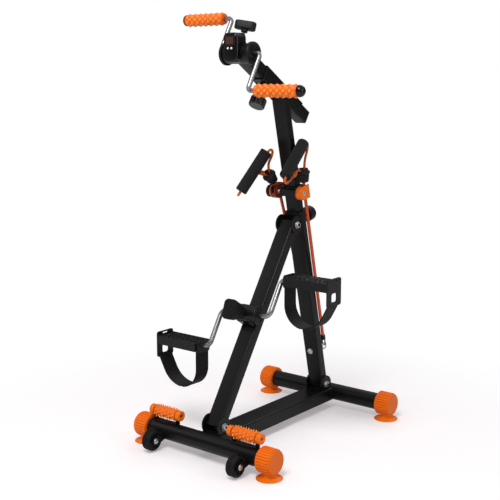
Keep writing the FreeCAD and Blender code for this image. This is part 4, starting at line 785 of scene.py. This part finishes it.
class TRAINER_OT_feet(bpy.types.Operator):
    """Model the suction feet"""
    bl_idname = "trainer.feet"
    bl_label = "Suction feet"

    def execute(self, context):
        low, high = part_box("suction_feet")
        radius = context.scene.trainer_sizes.foot_radius
        lip, neck, tall = 0.0008, 0.0172, 0.0190
        cup = lathe([(0, 0.004), (0.026, 0.0032), (0.033, 0.0006), (0.0345, 0),
                     *arc(radius - lip, lip, lip, -90, 80), (0.0335, 0.0026), (0.029, 0.0042),
                     (0.0235, 0.0066), (0.0195, 0.0092), (0.0178, 0.0108), (neck, 0.0125), (neck, tall),
                     (0, tall)], 72)
        ridge = lathe([(0.0262, 0.0046), *arc(0.0270, 0.0052, 0.0007, 200, 20), (0.0278, 0.0042)], 72)
        stands = [Matrix.Translation((x, y, 0)) for x in (low.x + radius, high.x - radius)
                  for y in (low.y + radius, high.y - radius)]
        mesh = gathered(*[(part, stand) for stand in stands for part in (cup, ridge)])
        put(mesh, "suction_cups", "base_frame", "orange", ("suction_feet",))
        return {"FINISHED"}


class TRAINER_OT_caps(bpy.types.Operator):
    """Model the ribbed end caps of the cross tubes"""
    bl_idname = "trainer.caps"
    bl_label = "End caps"

    def execute(self, context):
        low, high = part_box("end_caps")
        radius, long = (high.z - low.z) / 2, 0.048
        for row, y in (("front", low.y + radius), ("rear", high.y - radius)):
            for name, side in SIDES.items():
                stand = facing(((high.x - long) * side, y, (low.z + high.z) / 2), X_AXIS * side)
                self.cap("ribbed_cap_%s_%s" % (row, name), stand, long,
                         ("end_caps",) if row == "front" and side < 0 else ())
        return {"FINISHED"}

    def cap(self, name, stand, long, replaces):
        """A barrel about Z with raised ribs and a round outer edge, open where the tube goes in."""
        socket, core, outer, rim, edge, wall = 0.0252, 0.0336, 0.0354, 0.002, 0.0050, 0.009
        barrel = lathe([(socket, 0), *arc(core - rim, rim, rim, -90, 0),
                        *arc(core - edge, long - edge, edge, 0, 90, 8), (core - edge - rim, long), (0, long),
                        (0, long - wall), (socket, long - wall), (socket, 0)], 96)
        rib_count, rib_thick, rib_width, rib_lift = 28, 0.0032, 0.0050, 0.0022
        rib = soft_box((rib_thick, rib_width, long - 0.0078), 0.0013, 3)
        spot = Matrix.Translation((outer - rib_thick / 2, 0, long / 2 - rib_lift))
        ribs = [(rib, Matrix.Rotation(math.tau * index / rib_count, 4, "Z") @ spot)
                for index in range(rib_count)]
        mesh = gathered((barrel, Matrix()), *ribs)
        # The finish paints shade into the grooves by this height
        mark_rise(mesh, core, outer - core)
        move(mesh, stand)
        put(mesh, name, "base_frame", "cap", replaces)


class TRAINER_OT_grips(bpy.types.Operator):
    """Model the studded hand grips"""
    bl_idname = "trainer.grips"
    bl_label = "Hand grips"

    def execute(self, context):
        for name, side in SIDES.items():
            self.grip(context.scene.trainer_sizes, name, side)
        return {"FINISHED"}

    def grip(self, sizes, name, side):
        node = "hand_grip_%s" % name
        low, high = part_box(node)
        reach, outer = high.x - low.x, (high.z - low.z) / 2
        core, bore, corner = sizes.grip_core, 0.0064, 0.0015
        rise = min(sizes.stud_rise, outer - core)
        margin = sizes.stud_radius + 0.001
        pitch = (reach - margin * 2) / (sizes.studs_along - 1)
        levels = [margin + pitch * ring for ring in range(sizes.studs_along)]
        studs = staggered(self.stud(sizes.stud_radius, rise, core), core, sizes.studs_round, levels)
        mesh = gathered((sleeve(bore, core, 0, reach, corner, 4, 72), Matrix()), *studs)
        # The finish paints highlight on the stud tops and shade between them by this height
        mark_rise(mesh, core, rise * 0.8)
        move(mesh, facing(joint_place("%s_spin" % node), X_AXIS * side))
        put(mesh, "studded_grip_%s" % name, node, "grip", (node,))

    def stud(self, radius, rise, core):
        """A soft bump on Z that runs out into the core, its foot sunk in it."""
        foot = math.sqrt(core * core - radius * radius) - core - 0.0008
        steps = 9
        profile = []
        for i in range(steps + 1):
            r = radius * i / steps
            drop = core - math.sqrt(core * core - r * r)
            profile.append((r, rise * (0.5 + 0.5 * math.cos(math.pi * i / steps)) - drop))
        return lathe([*profile, (radius, foot), (0, foot)], 24)


class TRAINER_OT_rollers(bpy.types.Operator):
    """Model the massage rollers with their rings of points"""
    bl_idname = "trainer.rollers"
    bl_label = "Massage rollers"

    def execute(self, context):
        for name in SIDES:
            self.roller(context.scene.trainer_sizes, name)
        self.collars()
        return {"FINISHED"}

    def roller(self, sizes, name):
        node = "massage_roller_%s" % name
        low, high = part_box(node)
        reach, outer = (high.x - low.x) / 2, (high.z - low.z) / 2
        core, bore, corner = 0.0135, 0.00405, 0.001
        pitch = reach * 2 / sizes.spike_rings
        levels = [pitch * (ring + 0.5) - reach for ring in range(sizes.spike_rings)]
        spikes = staggered(self.spike(pitch, outer - core), core, sizes.spikes_round, levels)
        mesh = gathered((sleeve(bore, core, -reach, reach, corner, 3, 64), Matrix()), *spikes)
        # The finish paints highlight on the points and shade between them by this height
        mark_rise(mesh, core * 0.9, outer - core)
        move(mesh, facing((low + high) / 2, X_AXIS))
        put(mesh, "spiked_roller_%s" % name, node, "grip", (node,))

    def spike(self, pitch, rise):
        """A blunt cone on Z, its foot sunk in the core."""
        sunk, wide, tip = 0.0015, pitch * 0.36, 0.0011
        return lathe([*arc(0, rise - tip, tip, 90, 10), (wide, -sunk), (0, -sunk)], 18)

    def collars(self):
        """End collars of both rollers, with a dark bore and a rounded rim."""
        low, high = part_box("roller_collars")
        radius, bore, corner, chamfer, long = (high.z - low.z) / 2, 0.0045, 0.002, 0.001, 0.014
        ring = lathe([(bore, chamfer), (0.0078, chamfer), (0.0082, 0),
                      *arc(radius - corner, corner, corner, -90, 0), (radius, long - chamfer),
                      (radius - chamfer, long), (bore, long), (bore, chamfer)], 56)
        stamps = []
        for name, side in SIDES.items():
            near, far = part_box("massage_roller_%s" % name)
            middle = ((near.x + far.x) / 2, (low.y + high.y) / 2, (low.z + high.z) / 2)
            outside = abs(high.x if side > 0 else low.x) - abs(middle[0])
            stamps += [(ring, beside(middle, outside * face, -face)) for face in (-1, 1)]
        put(gathered(*stamps), "roller_end_rings", "base_frame", "orange",
            ("roller_collars",))


class TRAINER_OT_wheels(bpy.types.Operator):
    """Model the transport wheels with their grooved tyres and spokes"""
    bl_idname = "trainer.wheels"
    bl_label = "Transport wheels"

    def execute(self, context):
        half, radius, bore, corner = 0.0125, 0.029, 0.00405, 0.004
        sunk, seam, groove, outer_groove = 0.0030, 0.0003, 0.0008, -0.0045
        near = [(bore, -half), (0.0096, -half), (0.010, 0.0004 - half), (0.010, sunk - half),
                (0.0196, sunk - half), (0.020, 0.0004 - half), (0.0204, -half), (0.0212, -half),
                (0.0212, seam - half), (0.0220, seam - half), (0.0220, -half),
                *arc(radius - corner, corner - half, corner, -90, 0, 6),
                (radius, outer_groove - groove), (radius - groove, outer_groove - groove / 2),
                (radius - groove, outer_groove + groove / 2), (radius, outer_groove + groove),
                (radius, -groove), (radius - groove, -groove / 2)]
        tyre = lathe([*near, *[(r, -z) for r, z in reversed(near)], (bore, -half)], 72)
        spoke, spoke_count, middle, face = soft_box((0.0104, 0.003, 0.003), 0.0006, 3), 6, 0.0149, 0.0100
        spokes = [(spoke, Matrix.Rotation(math.tau * index / spoke_count, 4, "Z")
                   @ Matrix.Translation((middle, 0, level)))
                  for index in range(spoke_count) for level in (-face, face)]
        for name in SIDES:
            node = "wheel_%s" % name
            mesh = gathered((tyre, Matrix()), *spokes)
            move(mesh, facing(joint_place("%s_spin" % node), X_AXIS))
            put(mesh, "grooved_%s" % node, node, "rubber", (node,))
        return {"FINISHED"}


class TRAINER_OT_bolts(bpy.types.Operator):
    """Model the bolts, washers and nuts of the frame"""
    bl_idname = "trainer.bolts"
    bl_label = "Bolts"

    def execute(self, context):
        stamps = []
        for pivot in PIVOTS:
            stamps += self.pivot_bolt(pivot)
        for name in SIDES:
            stamps += self.wheel_bolt(joint_place("wheel_%s_spin" % name))
        stamps += self.rope_bolt(joint_place("rope_clamp_knob_turn"))
        put(gathered(*stamps), "bolts_and_nuts", "base_frame", "steel", ("frame_bolts",))
        return {"FINISHED"}

    def shank(self, centre, radius, start, end):
        rod = lathe([(0, start), (radius, start), (radius, end), (0, end)], 24)
        return rod, facing(centre, X_AXIS)

    def pivot_bolt(self, centre):
        face, bore, thick = 0.0295, 0.005, 0.0015
        washer = lathe([(bore, 0), (0.0103, 0), (0.0105, 0.0003), (0.0103, thick), (bore, thick)], 48)
        collar = lathe([(0, 0), (0.0074, 0), (0.0072, 0.0006), (0.0045, 0.0009), (0, 0.0009)], 40)
        return [self.shank(centre, 0.0049, -face - 0.008, face + 0.001), (washer, beside(centre, face, 1)),
                (hex_head(0.009, 0.006), beside(centre, face + thick, 1)),
                (collar, beside(centre, face + 0.0066, 1)),
                (hex_head(0.009, 0.0065), beside(centre, -face, -1))]

    def wheel_bolt(self, centre):
        face = 0.0163
        return [self.shank(centre, 0.0039, -face, face),
                *[(dome_head(0.008, 0.003), beside(centre, face * side, side)) for side in (-1, 1)]]

    def rope_bolt(self, centre):
        """The long bolt through both pulley cases, a nut inside each."""
        end, nut = 0.056, 0.036
        return [self.shank(centre, 0.0039, -0.0665, end), (dome_head(0.007, 0.003), beside(centre, end, 1)),
                *[(hex_head(0.007, 0.005), beside(centre, nut * side, -side)) for side in (-1, 1)]]


class TRAINER_OT_lines(bpy.types.Operator):
    """Model the pull lines: handles, cups, cords and stretch tubes"""
    bl_idname = "trainer.lines"
    bl_label = "Pull lines"

    def execute(self, context):
        sizes = context.scene.trainer_sizes
        for name in SIDES:
            body = "pull_line_%s" % name
            self.cup(name, body)
            threaded = [*self.handle(name, body), self.whipping(name, body)]
            cord_piece("pull_cord_loop_%s" % name, CORD_POINTS[name], sizes.cord_radius, body, "braid",
                       ("pull_cord_%s" % name,))
            rod_piece("tube_top_%s" % name, RUN_POINTS[name], sizes.tube_radius, body,
                      "cord", smooth=True)
            cord_piece("stretch_tube_%s" % name, TUBE_POINTS[name], sizes.tube_radius, "base_frame", "cord",
                       ("stretch_tubes",))
        return {"FINISHED"}

    def handle(self, name, body):
        """A foam roll on a tube, its ends rounded, with a flanged plug in each end."""
        top, low = (Vector(end) for end in HANDLE_ENDS[name])
        down = facing(top, (low - top).normalized())
        up = facing(low, (top - low).normalized())
        inner, outer, corner, dish = 0.0112, 0.0172, 0.003, 0.0006
        foam_roll = sleeve(inner, outer, 0, (low - top).length, corner, 5, 64, dish)
        roll = put(gathered((foam_roll, down)), "foam_roll_%s" % name, body, "foam",
                   ("pull_handle_%s" % name,))
        bore, lip, long = 0.0038, 0.0009, 0.006
        plug = lathe([(bore, 0), *arc(0.0105, lip, lip, -90, 90, 5), (0.0100, long), (bore, long),
                      (bore, 0)], 48)
        plugs = put(gathered((plug, down), (plug, up)), "handle_plugs_%s" % name, body,
                    "plastic")
        return roll, plugs

    def cup(self, name, body):
        """A ribbed funnel with a rolled rim."""
        start, end = (Vector(point) for point in RUN_POINTS[name])
        wide, narrow, tall, wall, bore, corner = 0.0205, 0.0145, 0.040, 0.0026, 0.0049, 0.002
        grooves = []
        for level in (0.30, 0.42, 0.54):
            middle, r = tall * level, narrow + (wide - narrow) * level
            grooves += [(r, middle - 0.0012), (r - 0.0007, middle - 0.0006), (r - 0.0007, middle + 0.0006),
                        (r + 0.0002, middle + 0.0012)]
        funnel = lathe([(bore, 0), *arc(narrow - corner, corner, corner, -90, 0), *grooves,
                        *arc(wide - 0.009, tall - 0.013, 0.009, 0, 62, 8),
                        *arc(wide - 0.0072, tall - corner, corner, -40, 120, 6),
                        (wide - 0.0082 - wall, tall - 0.004), (bore, tall - 0.009), (bore, 0)], 72)
        put(gathered((funnel, facing(end, (end - start).normalized()))), "ribbed_cup_%s" % name, body,
            "plastic", ("cord_cup_%s" % name,))

    def whipping(self, name, body):
        """Turns of cord bound round the last stretch, which curves from midway between two points."""
        start, bend, end = (Vector(point) for point in CORD_POINTS[name][-3:])
        start = (start + bend) / 2
        share = WHIPPING_SHARE[name]
        spot = start * (1 - share) ** 2 + bend * 2 * share * (1 - share) + end * share ** 2
        way = ((bend - start) * (1 - share) + (end - bend) * share).normalized()
        radius, strand, pitch = 0.0054, 0.0025, 0.0047
        turn = lathe(arc(radius, 0, strand, 0, 360, 12), 40)
        lean = Matrix.Rotation(math.radians(8), 4, "X")
        turns = [(turn, facing(spot + way * pitch * index, way) @ lean) for index in (-1, 0, 1)]
        return put(gathered(*turns), "cord_whipping_%s" % name, body, "braid")


class TRAINER_OT_display(bpy.types.Operator):
    """Model the display: its case, window, screen and two buttons"""
    bl_idname = "trainer.display"
    bl_label = "Display"

    def execute(self, context):
        low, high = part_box("display_window")
        centre = (low + high) / 2
        width, thick, height = high - low
        pane = soft_slab((width, height, thick), 0.0048, steps=6)
        put(gathered((pane, facing(centre, Y_AXIS))), "window_pane", "arm", "window",
            ("display_window",))
        face = soft_slab((0.026, 0.019, 0.0006), 0.0012, steps=6)
        front = facing((centre.x, low.y, centre.z), Y_AXIS)
        put(gathered((face, front)), "screen", "arm", "screen")
        self.case()
        for name in SIDES:
            node = "display_button_%s" % name
            low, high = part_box(node)
            radius, long, corner = (high.x - low.x) / 2, high.y - low.y, 0.0008
            cap = lathe([(0, 0), (radius, 0), *arc(radius - corner, long - corner, corner, 0, 90),
                         (0, long - 0.0001)], 36)
            spot = ((low.x + high.x) / 2, high.y, (low.z + high.z) / 2)
            put(gathered((cap, facing(spot, -Y_AXIS))), "button_cap_%s" % name, node,
                "button", (node,))
        return {"FINISHED"}

    def case(self):
        """The case: a soft-edged block in front of the barrel, with a hole for each button."""
        low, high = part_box("display_case")
        width, depth, height = high - low
        blank = gathered((soft_slab((width, height, depth), 0.014, 0.005), facing((low + high) / 2, Y_AXIS)))
        gap, overrun = 0.0002, 0.0024
        drills = []
        for name in SIDES:
            near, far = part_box("display_button_%s" % name)
            radius, deep = (far.x - near.x) / 2 + gap, far.y - low.y + overrun * 2
            spot = ((near.x + far.x) / 2, low.y - overrun, (near.z + far.z) / 2)
            drill = lathe([(0, 0), (radius, 0), (radius, deep), (0, deep)], 36)
            drills.append((drill, facing(spot, Y_AXIS)))
        left = bored(blank, gathered(*drills))
        put(gathered((left, Matrix())), "soft_case", "arm", "gloss", ("display_case",))


class TRAINER_OT_tension_knob(bpy.types.Operator):
    """Model the upper tension knob: a soft bar on a bright screw"""
    bl_idname = "trainer.tension_knob"
    bl_label = "Upper tension knob"

    def execute(self, context):
        body, lean, turn, bar_level = "upper_tension_knob", math.radians(-18), math.radians(30), 0.078
        stand = Matrix.Translation(joint_place("%s_turn" % body)) @ Matrix.Rotation(lean, 4, "X")
        bar = soft_slab((0.058, 0.026, 0.022), 0.0115, 0.003)
        top = stand @ Matrix.Translation((0, 0, bar_level)) @ Matrix.Rotation(turn, 4, "Z")
        hub = lathe([(0, 0.059), *arc(0.0076, 0.0604, 0.0014, -90, 0), (0.0095, 0.069), (0, 0.069)], 40)
        put(gathered((bar, top), (hub, stand)), "tension_bar", body, "plastic", (body,))
        start, pitch, end = 0.019, 0.00125, 0.0595
        threads = []
        for index in range(32):
            level = start + pitch * index
            threads += [(0.0040, level), (0.0036, level + pitch / 2)]
        screw = lathe([(0, start), *threads, (0, end)], 28)
        put(gathered((screw, stand)), "tension_screw", body, "steel")
        return {"FINISHED"}


class TRAINER_OT_cranks(bpy.types.Operator):
    """Bend the chromed rods of both cranks"""
    bl_idname = "trainer.cranks"
    bl_label = "Cranks"

    def execute(self, context):
        self.crank("upper", "hand_grip", radius=0.0063, arm_x=0.070, bend=0.013, end=0.238)
        self.crank("lower", "pedal", radius=0.0070, arm_x=0.084, bend=0.020, end=0.252)
        return {"FINISHED"}

    def crank(self, level, held, radius, arm_x, bend, end):
        """Both rods of a crank, from the flanges to the spindles that carry the held pieces."""
        body = "%s_crank" % level
        shaft = joint_place("%s_turn" % body)
        start = 0.049
        for name, side in SIDES.items():
            across = joint_place("%s_%s_spin" % (held, name)) - shaft
            across.x = 0
            long, up = across.length, across.normalized()
            line = rounded_line([(start, 0), (arm_x, 0), (arm_x, long), (end, long)], (bend, bend), 12)
            points = [shaft + X_AXIS * x * side + up * z for x, z in line]
            rod_piece("%s_rod_%s" % (level, name), points, radius, body, "chrome",
                      (body,) if side < 0 else ())


class TRAINER_OT_flanges(bpy.types.Operator):
    """Model the rings, hubs and screws on the ends of both resistance units"""
    bl_idname = "trainer.flanges"
    bl_label = "Flange trim"

    def execute(self, context):
        self.trim("upper", "arm", 0.031)
        self.trim("lower", "base_frame", 0.0265)
        return {"FINISHED"}

    def trim(self, level, body, radius):
        centre = joint_place("%s_crank_turn" % level)
        face, bead, screw_ring = 0.050, 0.0009, 0.017
        ring = lathe([(radius - 0.0075, 0), *arc(radius - 0.0060, 0.0003, bead, 150, 30, 5),
                      (radius - 0.0045, 0)], 72)
        hub = lathe([(0.0085, -0.0005), (0.0115, -0.0005), *arc(0.0106, 0.0012, bead, 0, 90),
                     (0.0085, 0.0021)], 48)
        head = dome_head(0.0032, 0.0024)
        trim, screws = [], []
        for side in (-1, 1):
            stand = beside(centre, face * side, side)
            trim += [(ring, stand), (hub, stand)]
            for index in range(3):
                turn = math.tau * index / 3
                spot = centre + Vector((0, math.sin(turn), math.cos(turn))) * screw_ring
                screws.append((head, beside(spot, face * side, side)))
        put(gathered(*trim), "%s_flange_rings" % level, body, "housing")
        put(gathered(*screws), "%s_flange_screws" % level, body, "tread")


class TRAINER_OT_straps(bpy.types.Operator):
    """Model the foot straps with their rivets and the tread of the pedals"""
    bl_idname = "trainer.straps"
    bl_label = "Foot straps"

    def execute(self, context):
        for name, side in SIDES.items():
            spindle = joint_place("pedal_%s_spin" % name)
            body = "pedal_%s" % name
            self.strap(context.scene.trainer_sizes, name, body, spindle, side)
            self.tread(name, body, spindle, side)
            self.rivets(name, body, spindle, side)
        return {"FINISHED"}

    def strap(self, sizes, name, body, spindle, side):
        """A band along its U, with a raised bead along each edge."""
        inner, outer = STRAP_SPAN
        low_end = inner + (outer - inner) * STRAP_LOW_SHARE
        line = rounded_line([(inner, STRAP_TOP), (inner, STRAP_LOW), (low_end, STRAP_LOW),
                             (outer, STRAP_PLATE), (outer, STRAP_END)], STRAP_BENDS)
        half, thick = sizes.strap_width / 2, sizes.strap_thick

        def along(y):
            return [(x * side, spindle.y + y, spindle.z + z) for x, z in line]

        mesh = bmesh.new()
        verts = [mesh.verts.new(point) for point in along(-half)]
        edges = [mesh.edges.new(pair) for pair in zip(verts, verts[1:])]
        made = bmesh.ops.extrude_edge_only(mesh, edges=edges)["geom"]
        moved = [item for item in made if isinstance(item, bmesh.types.BMVert)]
        bmesh.ops.translate(mesh, vec=(0, half * 2, 0), verts=moved)
        band = put(mesh, "rubber_strap_%s" % name, body, "rubber",
                   ("pedal_strap_%s" % name,))
        thicken = band.modifiers.new("Thickness", "SOLIDIFY")
        thicken.thickness = thick
        thicken.offset = 0
        rounding = band.modifiers.new("Rounding", "BEVEL")
        rounding.width = thick * 0.3
        rounding.segments = 2
        for edge, way in (("front", -1), ("rear", 1)):
            rod_piece("strap_bead_%s_%s" % (name, edge), along((half - thick * 0.6) * way), thick * 0.7,
                      body, "rubber")

    def tread(self, name, body, spindle, side):
        """Crossed ribs on the platform between its long ribs, cut off square at the tread's edges."""
        start, end, half, level = 0.110, 0.2538, 0.0328, spindle.z + 0.0113
        first, pitch, slant, middle, wall_out = 0.122, 0.0165, math.radians(28), 0.182, 0.0315
        rib = soft_box((0.0018, 0.074, 0.0030), 0.0005)
        wall = soft_box((0.144, 0.0026, 0.0022), 0.0006)
        ribs = [(rib, Matrix.Translation(((first + pitch * index) * side, spindle.y, level))
                 @ Matrix.Rotation(slant * lean, 4, "Z")) for index in range(8) for lean in (-1, 1)]
        walls = [(wall, Matrix.Translation((middle * side, spindle.y + wall_out * edge, level)))
                 for edge in (-1, 1)]
        mesh = gathered(*ribs, *walls)
        for plane, way in (((start * side, 0, 0), (-side, 0, 0)), ((end * side, 0, 0), (side, 0, 0)),
                           ((0, spindle.y + half, 0), (0, 1, 0)), ((0, spindle.y - half, 0), (0, -1, 0))):
            bmesh.ops.bisect_plane(mesh, geom=mesh.verts[:] + mesh.edges[:] + mesh.faces[:], plane_co=plane,
                                   plane_no=way, clear_outer=True)
        # The ribs take the lighter tread plastic, a painted highlight
        put(mesh, "pedal_tread_%s" % name, body, "tread")

    def rivets(self, name, body, spindle, side):
        """Domed rivets that hold the strap's outer end to its plate."""
        head, apart, drop = dome_head(0.0034, 0.0016), 0.021, 0.0490
        spots = [(PEDAL_OUTER * side, spindle.y + apart * across, spindle.z - drop) for across in (-1, 1)]
        put(gathered(*[(head, facing(spot, X_AXIS * side)) for spot in spots]), "strap_rivets_%s" % name,
            body, "housing")


class TRAINER_OT_welds(bpy.types.Operator):
    """Lay weld beads where the rail meets the cross tubes"""
    bl_idname = "trainer.welds"
    bl_label = "Weld beads"

    def execute(self, context):
        low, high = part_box("cross_tubes")
        rail_low, rail_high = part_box("base_rail")
        radius, centre_z, half = (high.z - low.z) / 2, (high.z + low.z) / 2, rail_high.x
        floor, steps = rail_low.z + 0.004, 5
        levels = [floor + (rail_high.z - floor) * i / steps for i in range(steps + 1)]
        for name, tube_y, way in (("front", low.y + radius, 1), ("rear", high.y - radius, -1)):
            side = [(half, tube_y + way * math.sqrt(radius ** 2 - (z - centre_z) ** 2), z) for z in levels]
            points = [*side, *[(-x, y, z) for x, y, z in reversed(side)]]
            rod_piece("weld_%s" % name, points, 0.0016, "base_frame", "paint", smooth=True)
        return {"FINISHED"}


class TRAINER_PT_panel(bpy.types.Panel):
    """Buttons that build the pieces, and their sizes and colours"""
    bl_label = "Limb Trainer"
    bl_idname = "TRAINER_PT_panel"
    bl_space_type = "VIEW_3D"
    bl_region_type = "UI"
    bl_category = "Trainer"

    def draw(self, context):
        layout = self.layout
        for operator in OPERATORS:
            layout.operator(operator.bl_idname)
        for group in (context.scene.trainer_sizes, context.scene.trainer_colours):
            for name in group.__annotations__:
                layout.prop(group, name)


OPERATORS = (TRAINER_OT_stage, TRAINER_OT_frame, TRAINER_OT_feet, TRAINER_OT_caps, TRAINER_OT_grips,
             TRAINER_OT_rollers, TRAINER_OT_wheels, TRAINER_OT_bolts, TRAINER_OT_lines, TRAINER_OT_display,
             TRAINER_OT_tension_knob, TRAINER_OT_cranks, TRAINER_OT_flanges, TRAINER_OT_straps,
             TRAINER_OT_welds)
CLASSES = (TrainerColours, TrainerSizes, *OPERATORS, TRAINER_PT_panel)


def register():
    for kind in CLASSES:
        bpy.utils.register_class(kind)
    bpy.types.Scene.trainer_colours = PointerProperty(type=TrainerColours)
    bpy.types.Scene.trainer_sizes = PointerProperty(type=TrainerSizes)


def unregister():
    del bpy.types.Scene.trainer_sizes
    del bpy.types.Scene.trainer_colours
    for kind in reversed(CLASSES):
        bpy.utils.unregister_class(kind)


def main():
    register()
    make_materials()
    bpy.ops.trainer.stage()
    bpy.ops.trainer.frame()
    bpy.ops.trainer.feet()
    bpy.ops.trainer.caps()
    bpy.ops.trainer.grips()
    bpy.ops.trainer.rollers()
    bpy.ops.trainer.wheels()
    bpy.ops.trainer.bolts()
    bpy.ops.trainer.lines()
    bpy.ops.trainer.display()
    bpy.ops.trainer.tension_knob()
    bpy.ops.trainer.cranks()
    bpy.ops.trainer.flanges()
    bpy.ops.trainer.straps()
    bpy.ops.trainer.welds()


if __name__ == "__main__":
    main()
